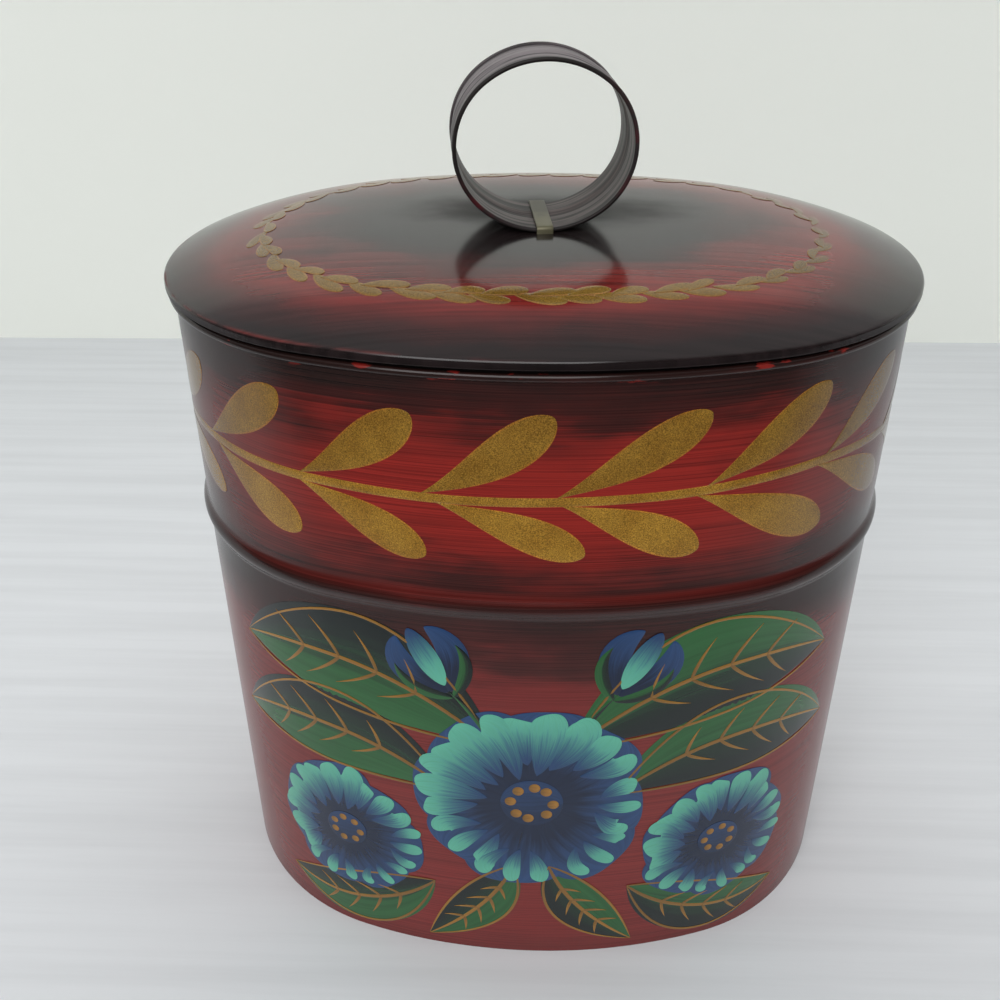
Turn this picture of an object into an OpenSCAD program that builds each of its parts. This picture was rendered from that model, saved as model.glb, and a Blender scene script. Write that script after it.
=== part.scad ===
// Oval painted tin box with a lift-off domed lid and a ring handle, in millimetres.
// Every sheet piece follows one plan: a four-centre oval, two round ends joined by two flatter sides.
// The origin is the middle of the underside. X runs along the width, the front faces -Y, and Z is up.

/* [Body] */
// Width of the wall from end to end, outside
body_w = 150; // [130:1:190]
// Depth of the wall from front to back, outside
body_d = 108; // [90:1:120]
// Height from the table to the top of the rolled rim
body_h = 151; // [125:0.5:200]
// How far the long sides bow out past the round of the ends
side_bow = 4; // [2:0.1:10]
// Thickness of the tinplate sheet
sheet_t = 0.4; // [0.3:0.05:0.7]

/* [Rim and bead] */
// Diameter of the wire in the rolled rim
rim_wire_d = 0.7; // [0.6:0.1:1.6]
// Slit between the end of the roll and the wall
rim_slit = 0.15; // [0.1:0.05:0.3]
// Height of the middle of the swaged bead above the table
bead_z = 101.8; // [80:0.1:110]
// Height of the bead on the wall, edge to edge
bead_w = 4.6; // [3:0.1:7]
// How far the bead stands out of the wall
bead_out = 1; // [0.6:0.1:1.2]

/* [Side seam] */
// Width of the lapped seam down the back
seam_w = 5; // [3:0.5:10]
// Bare wall between the top of the lap and the rolled rim
seam_stop = 1.2; // [0.5:0.1:4]

/* [Base] */
// Height of the flange turned up round the base
flange_h = 5; // [3:0.5:9]
// Gap between the flange and the wall, filled by solder in the real box
flange_fit = 0.1; // [0.05:0.05:0.2]
// Height of the solder fillet on top of the flange
base_fillet_h = 1.2; // [0.8:0.1:2]

/* [Lid] */
// How far the edge of the lid stands out past the rolled rim
lid_lip = 0.35; // [0.1:0.05:1.5]
// Dark gap between the rolled rim and the edge of the lid
lid_gap = 0.8; // [0.3:0.1:3]
// Height of the upright skirt at the edge of the lid
skirt_h = 1.2; // [1.1:0.1:4]
// Height of the hem folded inside the skirt
lid_hem_h = 0.9; // [0.8:0.1:1]
// Radius of the bend between the skirt and the dome
shoulder_r = 0.8; // [0.8:0.1:2]
// Height of the dome above the bend
dome_h = 6.3; // [3:0.1:9]
// How flat the middle of the dome is: 2 is a parabola, more is flatter
dome_power = 4.5; // [2:0.1:6]
// How deep the collar goes into the mouth
collar_depth = 12; // [8:0.5:20]
// Sliding gap between the collar and the inside of the wall
collar_fit = 0.35; // [0.3:0.05:0.6]
// Height of the solder fillet inside the top of the collar
collar_fillet_h = 1.2; // [0.8:0.1:2]

/* [Ring handle] */
// Width of the ring over its rolled edges
ring_w = 35.7; // [30:0.1:44]
// How much lower than wide the ring is, pressed down by use
ring_squash = 3.2; // [1:0.1:5]
// Width of the band, front to back
band_w = 17.5; // [13:0.5:20]
// Thickness of the rolled edges of the band
band_edge_d = 0.85; // [0.8:0.05:1.4]
// Width of the swage pressed round the middle of the band
swage_w = 5; // [3:0.5:7]
// How far the swage stands out of the band
swage_out = 0.45; // [0.2:0.05:0.5]
// Turn of the ring on the lid, seen from above
ring_turn = 6; // [-12:1:12]
// Gap between the ring and the crown
ring_seat = 0.05; // [0.03:0.01:0.2]

/* [Ring strap] */
// Width of the strap over the bottom of the ring
strap_w = 3.3; // [2.5:0.1:5]
// Thickness of the strap
strap_t = 0.45; // [0.3:0.05:0.7]
// Inner radius of the bends in the strap
strap_bend = 0.3; // [0.2:0.05:0.5]
// Length of the tabs clinched under the crown
tab_len = 5; // [3.5:0.5:6]
// Gap between the strap and the ring or the crown
strap_fit = 0.12; // [0.05:0.01:0.2]
// Radius of the solder puddle under the crown
puddle_r = 8; // [7.5:0.5:12]
// Depth of the solder puddle
puddle_h = 1.6; // [1.2:0.1:2.5]

/* [Hidden] */
$fn = 96;
// Hairline gap left between fixed pieces that lie against each other
hairline = 0.03;
// Straight steps along each round end and each long side of the plan
end_steps = 20;
side_steps = 12;
// Straight steps along the bead, the rolled rim, the dome, the solder puddle and each small bend
bead_steps = 5;
roll_steps = 9;
dome_steps = 10;
puddle_steps = 6;
bend_steps = 4;
wire_steps = 8;
// Straight steps along each end and each side of the ring, round its rolled edges and over its swage
ring_end_steps = 14;
ring_side_steps = 12;
edge_steps = 8;
swage_steps = 5;

// Four-centre oval: radius and centre of the end arcs, the same of the side arcs, half turn of a side
function oval(half_w, half_d, bow) =
    let (
        end_r = half_d - bow,
        end_x = half_w - end_r,
        side_r = (half_w * half_w - 2 * half_w * end_r + half_d * half_d) / (2 * bow),
        side_y = side_r - half_d
    )
        [end_r, end_x, side_r, side_y, atan2(end_x, side_y)];
// Directions of the outward normal at an oval's corners, all the way round from the right end
function oval_angles(oval, ends, sides) =
    let (side = oval[4], end_turn = (180 - 2 * side) / ends, side_turn = 2 * side / sides)
        concat(
            [for (k = [0 : ends - 1]) side - 90 + k * end_turn],
            [for (k = [0 : sides - 1]) 90 - side + k * side_turn],
            [for (k = [0 : ends - 1]) 90 + side + k * end_turn],
            [for (k = [0 : sides - 1]) 270 - side + k * side_turn]
        );
// Point of an oval with its normal at an angle, moved outwards by u
function oval_xy(oval, angle, u) = abs(sin(angle)) > cos(oval[4])
    ? [(oval[2] + u) * cos(angle), (oval[2] + u) * sin(angle) - sign(sin(angle)) * oval[3]]
    : [(oval[0] + u) * cos(angle) + sign(cos(angle)) * oval[1], (oval[0] + u) * sin(angle)];

// Plan of the wall's outer face
half_w = body_w / 2;
half_d = body_d / 2;
plan = oval(half_w, half_d, side_bow);
plan_angles = oval_angles(plan, end_steps, side_steps);
stations = len(plan_angles);
function plan_outline(u) = [for (a = plan_angles) oval_xy(plan, a, u)];

// Rolled rim: the sheet goes up the inside of the wire and curls outwards over it
wire_hole_r = rim_wire_d / 2 + hairline;
roll_r = wire_hole_r + sheet_t;
roll_u = wire_hole_r;
roll_z = body_h - roll_r;
rim_out = roll_u + roll_r;
roll_end = -acos((rim_slit - roll_u) / roll_r);
seam_top_z = roll_z - roll_r - seam_stop;

// Radius of a shallow ridge from its width and height
function ridge_r(width, height) = (width * width / 4 + height * height) / (2 * height);
bead_r = ridge_r(bead_w, bead_out);
swage_r = ridge_r(swage_w, swage_out);

// Lid: offsets from the wall and heights above the table, of the bend's centre and the dome's edge
lid_u = rim_out + lid_lip;
under_u = lid_u - sheet_t;
lid_edge_z = body_h + lid_gap;
shoulder = [lid_u - shoulder_r, lid_edge_z + skirt_h];
under_r = shoulder_r - sheet_t;
// Slope of the dome above the Y axis at a share of the way from its middle to its edge
function dome_slope(share) =
    atan(dome_h * dome_power * pow(share, dome_power - 1) / (half_d + shoulder[0]));
edge_slope = dome_slope(1);
dome_edge = shoulder + shoulder_r * [sin(edge_slope), cos(edge_slope)];
under_edge = shoulder + under_r * [sin(edge_slope), cos(edge_slope)];
lid_top_z = dome_edge[1] + dome_h;
dome_half_d = half_d + dome_edge[0];
under_half_d = half_d + under_edge[0];
under_half_w = half_w + under_edge[0];
// Point of the dome above the Y axis, as [distance from the middle, height], moved in by a depth
function dome_point(share, depth) =
    [share * dome_half_d, lid_top_z - dome_h * pow(share, dome_power)]
    - depth * [sin(dome_slope(share)), cos(dome_slope(share))];
dome_shares = [for (k = [1 : dome_steps]) pow(k / dome_steps, 2 / dome_power)];
dome_under = concat(
    [[0, lid_top_z - sheet_t]],
    [for (s = dome_shares) dome_point(s, sheet_t)]
);
// Underside of the dome above the Y axis, at a distance from the middle
function crown_under(y) = lookup(y, dome_under);
// Underside of the dome at the ends of the plan, where it is lowest, at an offset from the wall
function end_under(u) = crown_under((half_w + u) / under_half_w * under_half_d);

// Collar: slides inside the wall and stops under the dome
collar_u = -sheet_t - collar_fit;
collar_in_u = collar_u - sheet_t;
collar_z = body_h - collar_depth;
collar_top_z = end_under(collar_u) - hairline;

// Ring: oval of the band's outer face, inside its rolled edges
ring_h = ring_w - ring_squash;
edge_out = band_edge_d - sheet_t;
band = oval(ring_w / 2 - edge_out, ring_h / 2 - edge_out, ring_squash / 4);
ring_z = lid_top_z + ring_seat + ring_h / 2;

// Strap: lies on the inside of the ring, goes down past both edges and through the crown
ring_floor = [
    for (k = [0 : ring_side_steps / 2])
        oval_xy(band, 270 + k * 2 * band[4] / ring_side_steps, -sheet_t)
];
strap_z = ring_z + lookup(strap_w / 2, ring_floor) + hairline;
leg_y = band_w / 2 + strap_fit;
tab_z = crown_under(leg_y + strap_t) - strap_fit - strap_t;

// Points on an arc, as [across, up], from one angle to another
function arc(centre, radius, from_angle, to_angle, steps) = [
    for (k = [0 : steps])
        let (a = from_angle + (to_angle - from_angle) * k / steps)
            centre + radius * [cos(a), sin(a)]
];
function backwards(list) = [for (k = [len(list) - 1 : -1 : 0]) list[k]];

// A face of the wall at an offset, from the table up past the bead pressed into it
function beaded_face(u) =
    let (radius = bead_r + u, across = bead_out - bead_r, half = acos((u - across) / radius))
        concat([[u, 0]], arc([across, bead_z], radius, -half, half, bead_steps));

// Closed section of the wall: up the outer face, round the roll and back, and down the inner face
wall_section = concat(
    beaded_face(0),
    arc([roll_u, roll_z], wire_hole_r, 180, roll_end, roll_steps),
    arc([roll_u, roll_z], roll_r, roll_end, 180, roll_steps),
    backwards(beaded_face(-sheet_t))
);

// Corners of a section, as [offset outwards from an oval, height], placed at each direction in turn
function placed(oval, angles, section) = [
    for (a = angles)
        for (p = section)
            concat(oval_xy(oval, a, p[0]), [p[1]])
];

// Quads between one placed section and the next, for sections of so many corners
function skin(count, this, next) = [
    for (k = [0 : count - 1])
        let (up = (k + 1) % count)
            [this * count + k, this * count + up, next * count + up, next * count + k]
];

// Sweeps a closed section all the way round an oval.
module oval_sweep(oval, angles, section) {
    around = len(angles);
    polyhedron(
        points = placed(oval, angles, section),
        faces = [for (s = [0 : around - 1]) each skin(len(section), s, (s + 1) % around)],
        convexity = 6
    );
}

// Sweeps a closed section all the way round the plan.
module plan_sweep(section) {
    oval_sweep(plan, plan_angles, section);
}

// Flat plate with the outline of the plan, moved outwards by u.
module plan_plate(u, height) {
    linear_extrude(height = height)
        polygon(plan_outline(u));
}

// Upright band of sheet that follows the plan, with its outer face at u.
module plan_band(u, height) {
    linear_extrude(height = height)
        difference() {
            polygon(plan_outline(u));
            polygon(plan_outline(u - sheet_t));
        }
}

// Lap of the wall's sheet over itself, down the middle of the back.
module side_lap() {
    half_angle = seam_w / 2 / plan[2] * 180 / PI;
    root_u = -sheet_t / 2;
    section = concat(
        beaded_face(sheet_t),
        [[sheet_t, seam_top_z], [root_u, seam_top_z]],
        backwards(beaded_face(root_u))
    );
    count = len(section);
    rungs = [0 : count / 2 - 2];
    polyhedron(
        points = placed(plan, [90 - half_angle, 90 + half_angle], section),
        faces = concat(
            skin(count, 0, 1),
            [for (k = rungs) [k + 1, k, count - 1 - k, count - 2 - k]],
            [for (k = rungs) [count + k, count + k + 1, 2 * count - 2 - k, 2 * count - 1 - k]]
        ),
        convexity = 6
    );
}

// Wall: one sheet bent round the oval, lapped down the back and rolled over a wire at the top.
module body_wall() {
    color("#7a1c20") {
        plan_sweep(wall_section);
        side_lap();
    }
}

// Wire that stiffens the rolled rim.
module rim_wire() {
    color("#8f8f8c")
        plan_sweep([
            for (k = [0 : wire_steps - 1])
                [roll_u, roll_z] + rim_wire_d / 2 * [cos(360 * k / wire_steps), sin(360 * k / wire_steps)]
        ]);
}

// Base: a flat pan set into the wall with its flange turned up.
module base_plate() {
    pan_u = -sheet_t - flange_fit;
    color("#86837a") {
        plan_plate(pan_u, sheet_t);
        plan_band(pan_u, flange_h);
    }
}

// Solder fillet that closes the joint between flange and wall.
module base_solder() {
    wall_u = -sheet_t - hairline;
    color("#a8a8a2")
        plan_sweep([
            [wall_u, flange_h],
            [wall_u, flange_h + base_fillet_h],
            [wall_u - flange_fit - sheet_t, flange_h]
        ]);
}

// Section of the lid's edge: over the bend, down the skirt, round the hem and up again inside
lid_section = concat(
    arc(shoulder, shoulder_r, 90 - edge_slope, 0, bend_steps),
    arc([under_u, lid_edge_z + sheet_t], sheet_t, 0, -180, bend_steps),
    [for (u = [under_u - sheet_t, under_u]) [u, lid_edge_z + lid_hem_h]],
    arc(shoulder, under_r, 0, 90 - edge_slope, bend_steps)
);

// One ring of the dome: the plan at an offset shrunk to a share of its size, at a height
function dome_ring(share, u, height) = [
    for (a = plan_angles)
        concat(share * oval_xy(plan, a, u), [height])
];

// Domed sheet: rings from the middle of the dome out over the hem, and back to the middle underneath.
module domed_sheet() {
    inner_shares = [for (k = [0 : dome_steps - 2]) dome_shares[k]];
    over = [for (s = inner_shares) dome_point(s, 0)];
    under = [for (s = backwards(inner_shares)) dome_point(s, sheet_t)];
    rings = concat(
        [for (p = over) dome_ring(p[0] / dome_half_d, dome_edge[0], p[1])],
        [for (p = lid_section) placed(plan, plan_angles, [p])],
        [for (p = under) dome_ring(p[0] / under_half_d, under_edge[0], p[1])]
    );
    last = (len(rings) - 1) * stations;
    top = len(rings) * stations;
    polyhedron(
        points = concat(
            [for (r = rings) each r],
            [[0, 0, lid_top_z], [0, 0, lid_top_z - sheet_t]]
        ),
        faces = concat(
            [for (s = [0 : stations - 1]) [top, (s + 1) % stations, s]],
            [for (r = [0 : len(rings) - 2]) each skin_round(r * stations)],
            [for (s = [0 : stations - 1]) [top + 1, last + s, last + (s + 1) % stations]]
        ),
        convexity = 6
    );
}

// Quads from the ring that starts at an index to the ring after it
function skin_round(first) = [
    for (s = [0 : stations - 1])
        let (next = (s + 1) % stations)
            [first + s, first + next, first + stations + next, first + stations + s]
];

// Lid: one domed sheet with a hemmed edge, slotted for the legs of the strap.
module lid_dome() {
    slot_z = crown_under(leg_y + strap_t) - sheet_t;
    slot = [strap_w + 2 * strap_fit, strap_t + 2 * strap_fit, lid_top_z + sheet_t - slot_z];
    color("#4a1d1e")
        difference() {
            domed_sheet();
            rotate([0, 0, ring_turn])
                for (side = [-1, 1])
                    translate([0, side * (leg_y + strap_t / 2), slot_z + slot[2] / 2])
                        cube(slot, center = true);
        }
}

// Collar soldered inside the lid, which slides into the mouth of the box.
module lid_collar() {
    color("#4d4742")
        translate([0, 0, collar_z])
            plan_band(collar_u, collar_top_z - collar_z);
}

// Solder fillet between the collar and the underside of the lid.
module collar_solder() {
    fillet_u = collar_in_u - hairline;
    color("#a8a8a2")
        plan_sweep([
            for (p = [[fillet_u, 0], [fillet_u - collar_fillet_h, 0], [fillet_u, -collar_fillet_h]])
                [p[0], end_under(p[0]) - hairline + p[1]]
        ]);
}

// Section of the ring's band, as [offset outwards, height]: two rolled edges, with a swage between
edge_at = (band_w - band_edge_d) / 2;
edge_r = band_edge_d / 2;
edge_meet = acos((sheet_t - edge_r) / edge_r);
swage_across = swage_out - swage_r;
swage_in_r = swage_r - sheet_t;
swage_half = acos(-swage_across / swage_r);
swage_in_half = acos((-sheet_t - swage_across) / swage_in_r);
band_section = concat(
    arc([edge_r - sheet_t, -edge_at], edge_r, 180, 360 + edge_meet, edge_steps),
    arc([swage_across, 0], swage_r, -swage_half, swage_half, swage_steps),
    arc([edge_r - sheet_t, edge_at], edge_r, -edge_meet, 180, edge_steps),
    arc([swage_across, 0], swage_in_r, swage_in_half, -swage_in_half, swage_steps)
);

// Ring handle: a closed band that stands on the crown.
module ring_band() {
    color("#5a5558")
        rotate([0, 0, ring_turn])
            translate([0, 0, ring_z])
                rotate([90, 0, 0])
                    oval_sweep(band, oval_angles(band, ring_end_steps, ring_side_steps), band_section);
}

// Half of the strap's outline on one face, from the middle of the top bar to the end of the tab
function half_strap(inset) =
    let (radius = strap_bend + inset, across = leg_y - strap_bend, low = tab_z + strap_t + strap_bend)
        concat(
            [[0, strap_z + inset]],
            arc([across, strap_z - strap_bend], radius, 90, 0, bend_steps),
            arc([across, low], radius, 0, -90, bend_steps),
            [[across - tab_len, low - radius]]
        );
function mirrored(list) = [for (p = list) [-p[0], p[1]]];

// Strap: a bare strip over the bottom of the ring with its ends through the lid.
module ring_strap() {
    inner_half = half_strap(0);
    outer_half = half_strap(strap_t);
    color("#7e7a5a")
        rotate([0, 0, ring_turn])
            rotate([90, 0, 90])
                linear_extrude(height = strap_w, center = true)
                    polygon(concat(
                        outer_half,
                        backwards(inner_half),
                        mirrored(inner_half),
                        mirrored(backwards(outer_half))
                    ));
}

// Solder puddle under the crown that holds the clinched tabs.
module strap_solder() {
    top_z = crown_under(puddle_r) - hairline;
    ball_r = ridge_r(2 * puddle_r, puddle_h);
    room = [strap_w + 2 * hairline, 2 * puddle_r, puddle_h];
    reach = acos(1 - puddle_h / ball_r);
    color("#a8a8a2")
        rotate([0, 0, ring_turn])
            difference() {
                rotate_extrude()
                    polygon(concat(
                        arc([0, top_z - puddle_h + ball_r], ball_r, -90, reach - 90, puddle_steps),
                        [[0, top_z]]
                    ));
                for (side = [-1, 1])
                    translate([
                        0,
                        side * (leg_y - strap_bend - tab_len - hairline + puddle_r),
                        tab_z - hairline + room[2] / 2
                    ])
                        cube(room, center = true);
            }
}

body_wall();
rim_wire();
base_plate();
base_solder();
lid_dome();
lid_collar();
collar_solder();
ring_band();
ring_strap();
strap_solder();
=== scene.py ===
from math import atan2, cos, pi, radians, sin
from types import SimpleNamespace

import bpy
import numpy as np
from bpy.props import FloatProperty, FloatVectorProperty, IntProperty, PointerProperty
from mathutils import Matrix, Vector


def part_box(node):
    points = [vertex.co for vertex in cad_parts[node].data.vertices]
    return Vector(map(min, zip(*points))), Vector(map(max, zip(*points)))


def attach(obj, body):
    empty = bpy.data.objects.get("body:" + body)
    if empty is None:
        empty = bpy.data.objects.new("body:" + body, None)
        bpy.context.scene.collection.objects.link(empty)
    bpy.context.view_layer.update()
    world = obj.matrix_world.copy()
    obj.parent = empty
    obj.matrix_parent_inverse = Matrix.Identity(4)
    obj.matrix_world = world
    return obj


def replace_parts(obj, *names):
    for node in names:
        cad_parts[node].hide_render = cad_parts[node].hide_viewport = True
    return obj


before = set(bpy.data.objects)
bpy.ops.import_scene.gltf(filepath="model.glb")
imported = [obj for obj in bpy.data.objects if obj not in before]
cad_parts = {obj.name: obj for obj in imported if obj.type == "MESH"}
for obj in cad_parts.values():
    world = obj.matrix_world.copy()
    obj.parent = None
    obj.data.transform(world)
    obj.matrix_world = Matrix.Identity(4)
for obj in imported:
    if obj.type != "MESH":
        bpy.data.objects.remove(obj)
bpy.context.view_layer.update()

bl_info = {
    "name": "Painted oval tin box",
    "version": (1, 0, 0),
    "blender": (4, 5, 0),
    "location": "3D View > Sidebar > Tin Box",
    "description": "Builds an oval painted tin with a domed lid and a ring handle around its solids",
    "category": "Add Mesh",
}

MM = 0.001
# How far the base stays inside the wall's outer face
BASE_INSET = 0.5 * MM
WALL_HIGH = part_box("body_wall")[1]
BASE_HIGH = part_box("base_plate")[1]
LID_LOW, LID_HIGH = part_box("lid_dome")
COLLAR_LOW, COLLAR_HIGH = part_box("lid_collar")
RING_LOW, RING_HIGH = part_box("ring_band")
STRAP_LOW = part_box("ring_strap")[0]


def linear(code):
    """sRGB hex code to linear RGBA."""
    part = np.array([int(code[k:k + 2], 16) for k in (1, 3, 5)]) / 255
    part = np.where(part <= 0.04045, part / 12.92, ((part + 0.055) / 1.055) ** 2.4)
    return (*part.tolist(), 1.0)


def length(label, words, default):
    """A size in metres, shown in the scene's units."""
    return FloatProperty(
        name=label, description=words, default=default, precision=5, subtype="DISTANCE", unit="LENGTH"
    )


def turn(label, words, degrees):
    """An angle, given in degrees."""
    return FloatProperty(
        name=label, description=words, default=radians(degrees), subtype="ANGLE", unit="ROTATION"
    )


def number(label, words, default):
    """A plain number."""
    return FloatProperty(name=label, description=words, default=default)


def whole(label, words, default, least):
    """A whole number, with the least that it may be."""
    return IntProperty(name=label, description=words, default=default, min=least)


def colour(label, words, code):
    """A paint colour, given as an sRGB hex code."""
    return FloatVectorProperty(
        name=label, description=words, default=linear(code), size=4, min=0, max=1, subtype="COLOR"
    )


class TinBoxSizes(bpy.types.PropertyGroup):
    """Sizes of the sheet, wire and strap pieces"""

    sheet: length("Sheet", "Thickness of the tinplate", 0.4 * MM)
    width: length("Width", "Wall from end to end, outside", 2 * (BASE_HIGH.x + BASE_INSET))
    depth: length("Depth", "Wall from front to back, outside", 2 * (BASE_HIGH.y + BASE_INSET))
    height: length("Height", "Table to the top of the rolled rim", WALL_HIGH.z)
    side_bow: length("Side bow", "How far the long sides bow out past the round of the ends", 4 * MM)
    wire: length("Rim wire", "Diameter of the wire in the rolled rim", 0.7 * MM)
    wire_gap: length("Wire gap", "Hairline between the wire and the roll", 0.03 * MM)
    roll_slit: length("Roll slit", "Slit between the end of the roll and the wall", 0.15 * MM)
    bead_up: length("Bead height", "Middle of the swaged bead above the table", 101.8 * MM)
    bead_half: length("Bead half width", "Reach of the bead's ridge above and below its middle", 3.1 * MM)
    bead_out: length("Bead swell", "How far the bead stands out of the wall", 1 * MM)
    wave: length("Wave", "Unevenness of the hand-bent sheet", 0.06 * MM)
    seam: length("Seam", "Width of the lapped seam down the back", 5 * MM)
    seam_slope: length("Seam slope", "Width of the slope at each edge of the lap", 0.8 * MM)
    seam_stop: length("Seam stop", "Distance of the lap's upper end from the top of the rim", 3 * MM)
    flange: length("Base flange", "Height of the flange turned up round the base", BASE_HIGH.z)
    base_bend: length("Base bend", "Radius of the bend between pan and flange, inside", 0.6 * MM)
    base_round: length("Base round", "Radius of the base's outer edge", 0.3 * MM)
    base_fillet: length("Base fillet", "Reach of the solder along the flange's edge", 0.5 * MM)
    solder_gap: length("Solder gap", "Hairline between the solder and the sheet", 0.03 * MM)
    lid_edge: length("Lid edge", "Height of the lid's lower edge above the table", LID_LOW.z)
    lid_top: length("Lid top", "Height of the middle of the dome", LID_HIGH.z)
    lid_reach: length("Lid reach", "Half the width of the lid", LID_HIGH.x)
    lid_droop: length("Lid droop", "How far the lid's ends hang below its middle", 0.5 * MM)
    hem: length("Hem", "Height of the hem folded inside the skirt", 0.9 * MM)
    shoulder: length("Shoulder", "Radius of the bend between the skirt and the dome", 0.8 * MM)
    dome: length("Dome", "Height of the dome above the bend", 6.3 * MM)
    dome_power: number("Dome power", "How flat the middle of the dome is", 4.5)
    collar_fit: length("Collar fit", "Sliding gap between the collar and the wall", 0.35 * MM)
    collar_low: length("Collar low edge", "Height of the collar's lower edge", COLLAR_LOW.z)
    collar_top: length("Collar top edge", "Height of the collar's upper edge", COLLAR_HIGH.z)
    collar_fillet: length("Collar fillet", "Reach of the solder inside the collar", 1.2 * MM)
    ring_width: length("Ring width", "Width of the ring over its rolled edges", 35.7 * MM)
    ring_height: length("Ring height", "Height of the ring over its rolled edges", RING_HIGH.z - RING_LOW.z)
    ring_low: length("Ring foot", "Height of the underside of the ring", RING_LOW.z)
    ring_turn: turn("Ring turn", "Turn of the ring on the lid", 6)
    band: length("Band", "Width of the ring's band", 17.5 * MM)
    band_edge: length("Band edge", "Thickness of the band's rolled edges", 0.85 * MM)
    swage_half: length("Swage half width", "Reach of the swage on each side of the band's middle", 2.9 * MM)
    swage_out: length("Swage swell", "How far the swage stands out of the band", 0.45 * MM)
    strap: length("Strap", "Width of the strap over the ring's foot", 3.3 * MM)
    strap_sheet: length("Strap sheet", "Thickness of the strap", 0.45 * MM)
    strap_tab: length("Strap tab", "Length of the tabs clinched under the crown", 5 * MM)
    strap_bend: length("Strap bend", "Radius of the strap's bends, inside", 0.3 * MM)
    strap_round: length("Strap round", "Reach of the strap's rounded edges", 0.15 * MM)
    strap_lift: length("Strap lift", "Gap between the strap and the ring's foot", 0.05 * MM)
    strap_gap: length("Strap gap", "Gap between the strap's legs and the band's edges", 0.12 * MM)


class TinBoxColours(bpy.types.PropertyGroup):
    """Colours of the paints, lacquers and metals"""

    red: colour("Red ground", "Red japanning of the band", "#9C2922")
    brown: colour("Red-brown ground", "Red-brown japanning near the foot", "#8B302D")
    # The dark glaze colour also paints shade round the ends of the wall
    glaze: colour("Dark glaze", "Brushed dark glaze over the red", "#1C1B19")
    gold: colour("Gold", "Bronze-powder paint of the leaves", "#9E7628")
    old_gold: colour("Old gold", "Duller bronze-powder paint of the lid's wreath", "#7A5E25")
    navy: colour("Navy", "Deepest blue of the flowers", "#16243F")
    blue: colour("Blue", "Middle blue of the flowers", "#2A4A78")
    turquoise: colour("Turquoise", "Light strokes of the flowers", "#66BFA3")
    green: colour("Green", "Light side of the leaves", "#2C6435")
    shade: colour("Leaf shade", "Dark side of the leaves", "#16201F")
    ochre: colour("Ochre", "Veins and dots", "#A8772F")
    lacquer: colour("Ring lacquer", "Grey-brown lacquer of the ring", "#7B7376")
    ring_edge: colour("Ring edge", "Dark lacquer on the ring's rolled edges", "#221E1D")
    ring_wear: colour("Ring wear", "Red ground where the ring's edge is worn", "#5E1420")
    strap: colour("Strap", "Yellowed varnish over the bare strap", "#76725A")
    dirt: colour("Strap dirt", "Dull dirt on the strap inside the ring", "#3A362F")
    # The collar's black is also painted shade, so that the gap under the lid's edge reads dark
    collar: colour("Collar", "Black japan of the collar", "#1C1817")
    tinplate: colour("Tinplate", "Dull bare tinplate", "#A09C92")
    wire: colour("Rim wire", "Drawn iron wire", "#8F8F8C")
    solder: colour("Solder", "Soft solder", "#B4B4AE")
    floor: colour("Floor", "Pale floor", "#DBDEE1")
    backdrop: colour("Backdrop", "Pale wall behind", "#F4F7F0")


class TinBoxPainting(bpy.types.PropertyGroup):
    """Counts and sizes of the painted border and wreath"""

    pairs: whole("Leaf pairs", "Pairs of leaves round the border", 17, 4)
    stem_up: length("Stem height", "Height of the border's stem above the table", 126 * MM)
    stem_half: length("Stem half width", "Half the width of the border's stem", 0.95 * MM)
    leaf_half: length("Leaf half width", "Half the width of a border leaf", 4.1 * MM)
    wreath_pairs: whole("Wreath pairs", "Pairs of strokes round the lid", 40, 6)
    wreath_share: number("Wreath share", "Place of the wreath between middle and edge", 0.715)
    wreath_swing: number("Wreath swing", "How much further out the wreath lies at the ends", 0.035)
    film: length("Paint film", "Thickness of one coat of paint", 0.05 * MM)


def chosen(context):
    """The scene's sizes, its colours as plain tuples, and the values of the painting."""
    scene = context.scene
    tones = {key: tuple(getattr(scene.tin_colours, key)) for key in TinBoxColours.__annotations__}
    return scene.tin_sizes, SimpleNamespace(**tones), scene.tin_painting


def oval(half_w, half_d, bow):
    """Four-centre oval: end radius and centre, side radius and centre, and half the turn of a long side.
    The side radius follows from half width, half depth and bow, so that the arcs meet smoothly."""
    end_r = half_d - bow
    side_r = (half_w ** 2 - 2 * half_w * end_r + half_d ** 2) / (2 * bow)
    return end_r, half_w - end_r, side_r, side_r - half_d, atan2(half_w - end_r, side_r - half_d)


def oval_half(made):
    """Half the length round an oval."""
    end_r, _, side_r, _, bend = made
    return 2 * side_r * bend + end_r * (pi - 2 * bend)


def oval_point(made, along, out=0.0):
    """x and y at a length along an oval from the middle of its front, moved outwards by out.

    Lengths past the middle of the back run on from its other side. The length turns into the direction of
    the outward normal, which grows by length over side radius on a long side and by length over end radius
    on a round end. The point is the centre of its arc plus radius and offset along that normal."""
    end_r, end_x, side_r, side_y, bend = made
    side, end = side_r * bend, end_r * (pi - 2 * bend)
    lengths = [0, side, side + end, 2 * side + end]
    along = (np.asarray(along) + lengths[-1]) % (2 * lengths[-1]) - lengths[-1]
    way = np.sign(along) * np.interp(np.abs(along), lengths, [0, bend, pi - bend, pi])
    on_end = np.abs(np.sin(way)) > sin(bend)
    radius = np.where(on_end, end_r, side_r) + out
    x = np.where(on_end, np.sign(way) * end_x, 0) + radius * np.sin(way)
    y = np.where(on_end, 0, np.sign(np.cos(way)) * side_y) - radius * np.cos(way)
    return x, y


def wall_oval(size):
    """The plan of the wall's outer face."""
    return oval(size.width / 2, size.depth / 2, size.side_bow)


def half_round(size):
    """Length along the wall from the middle of the front to the middle of the back."""
    return oval_half(wall_oval(size))


def plan(size, along, out=0.0):
    """x and y at a length along the wall from the middle of the front, moved outwards by out."""
    return oval_point(wall_oval(size), along, out)


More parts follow.
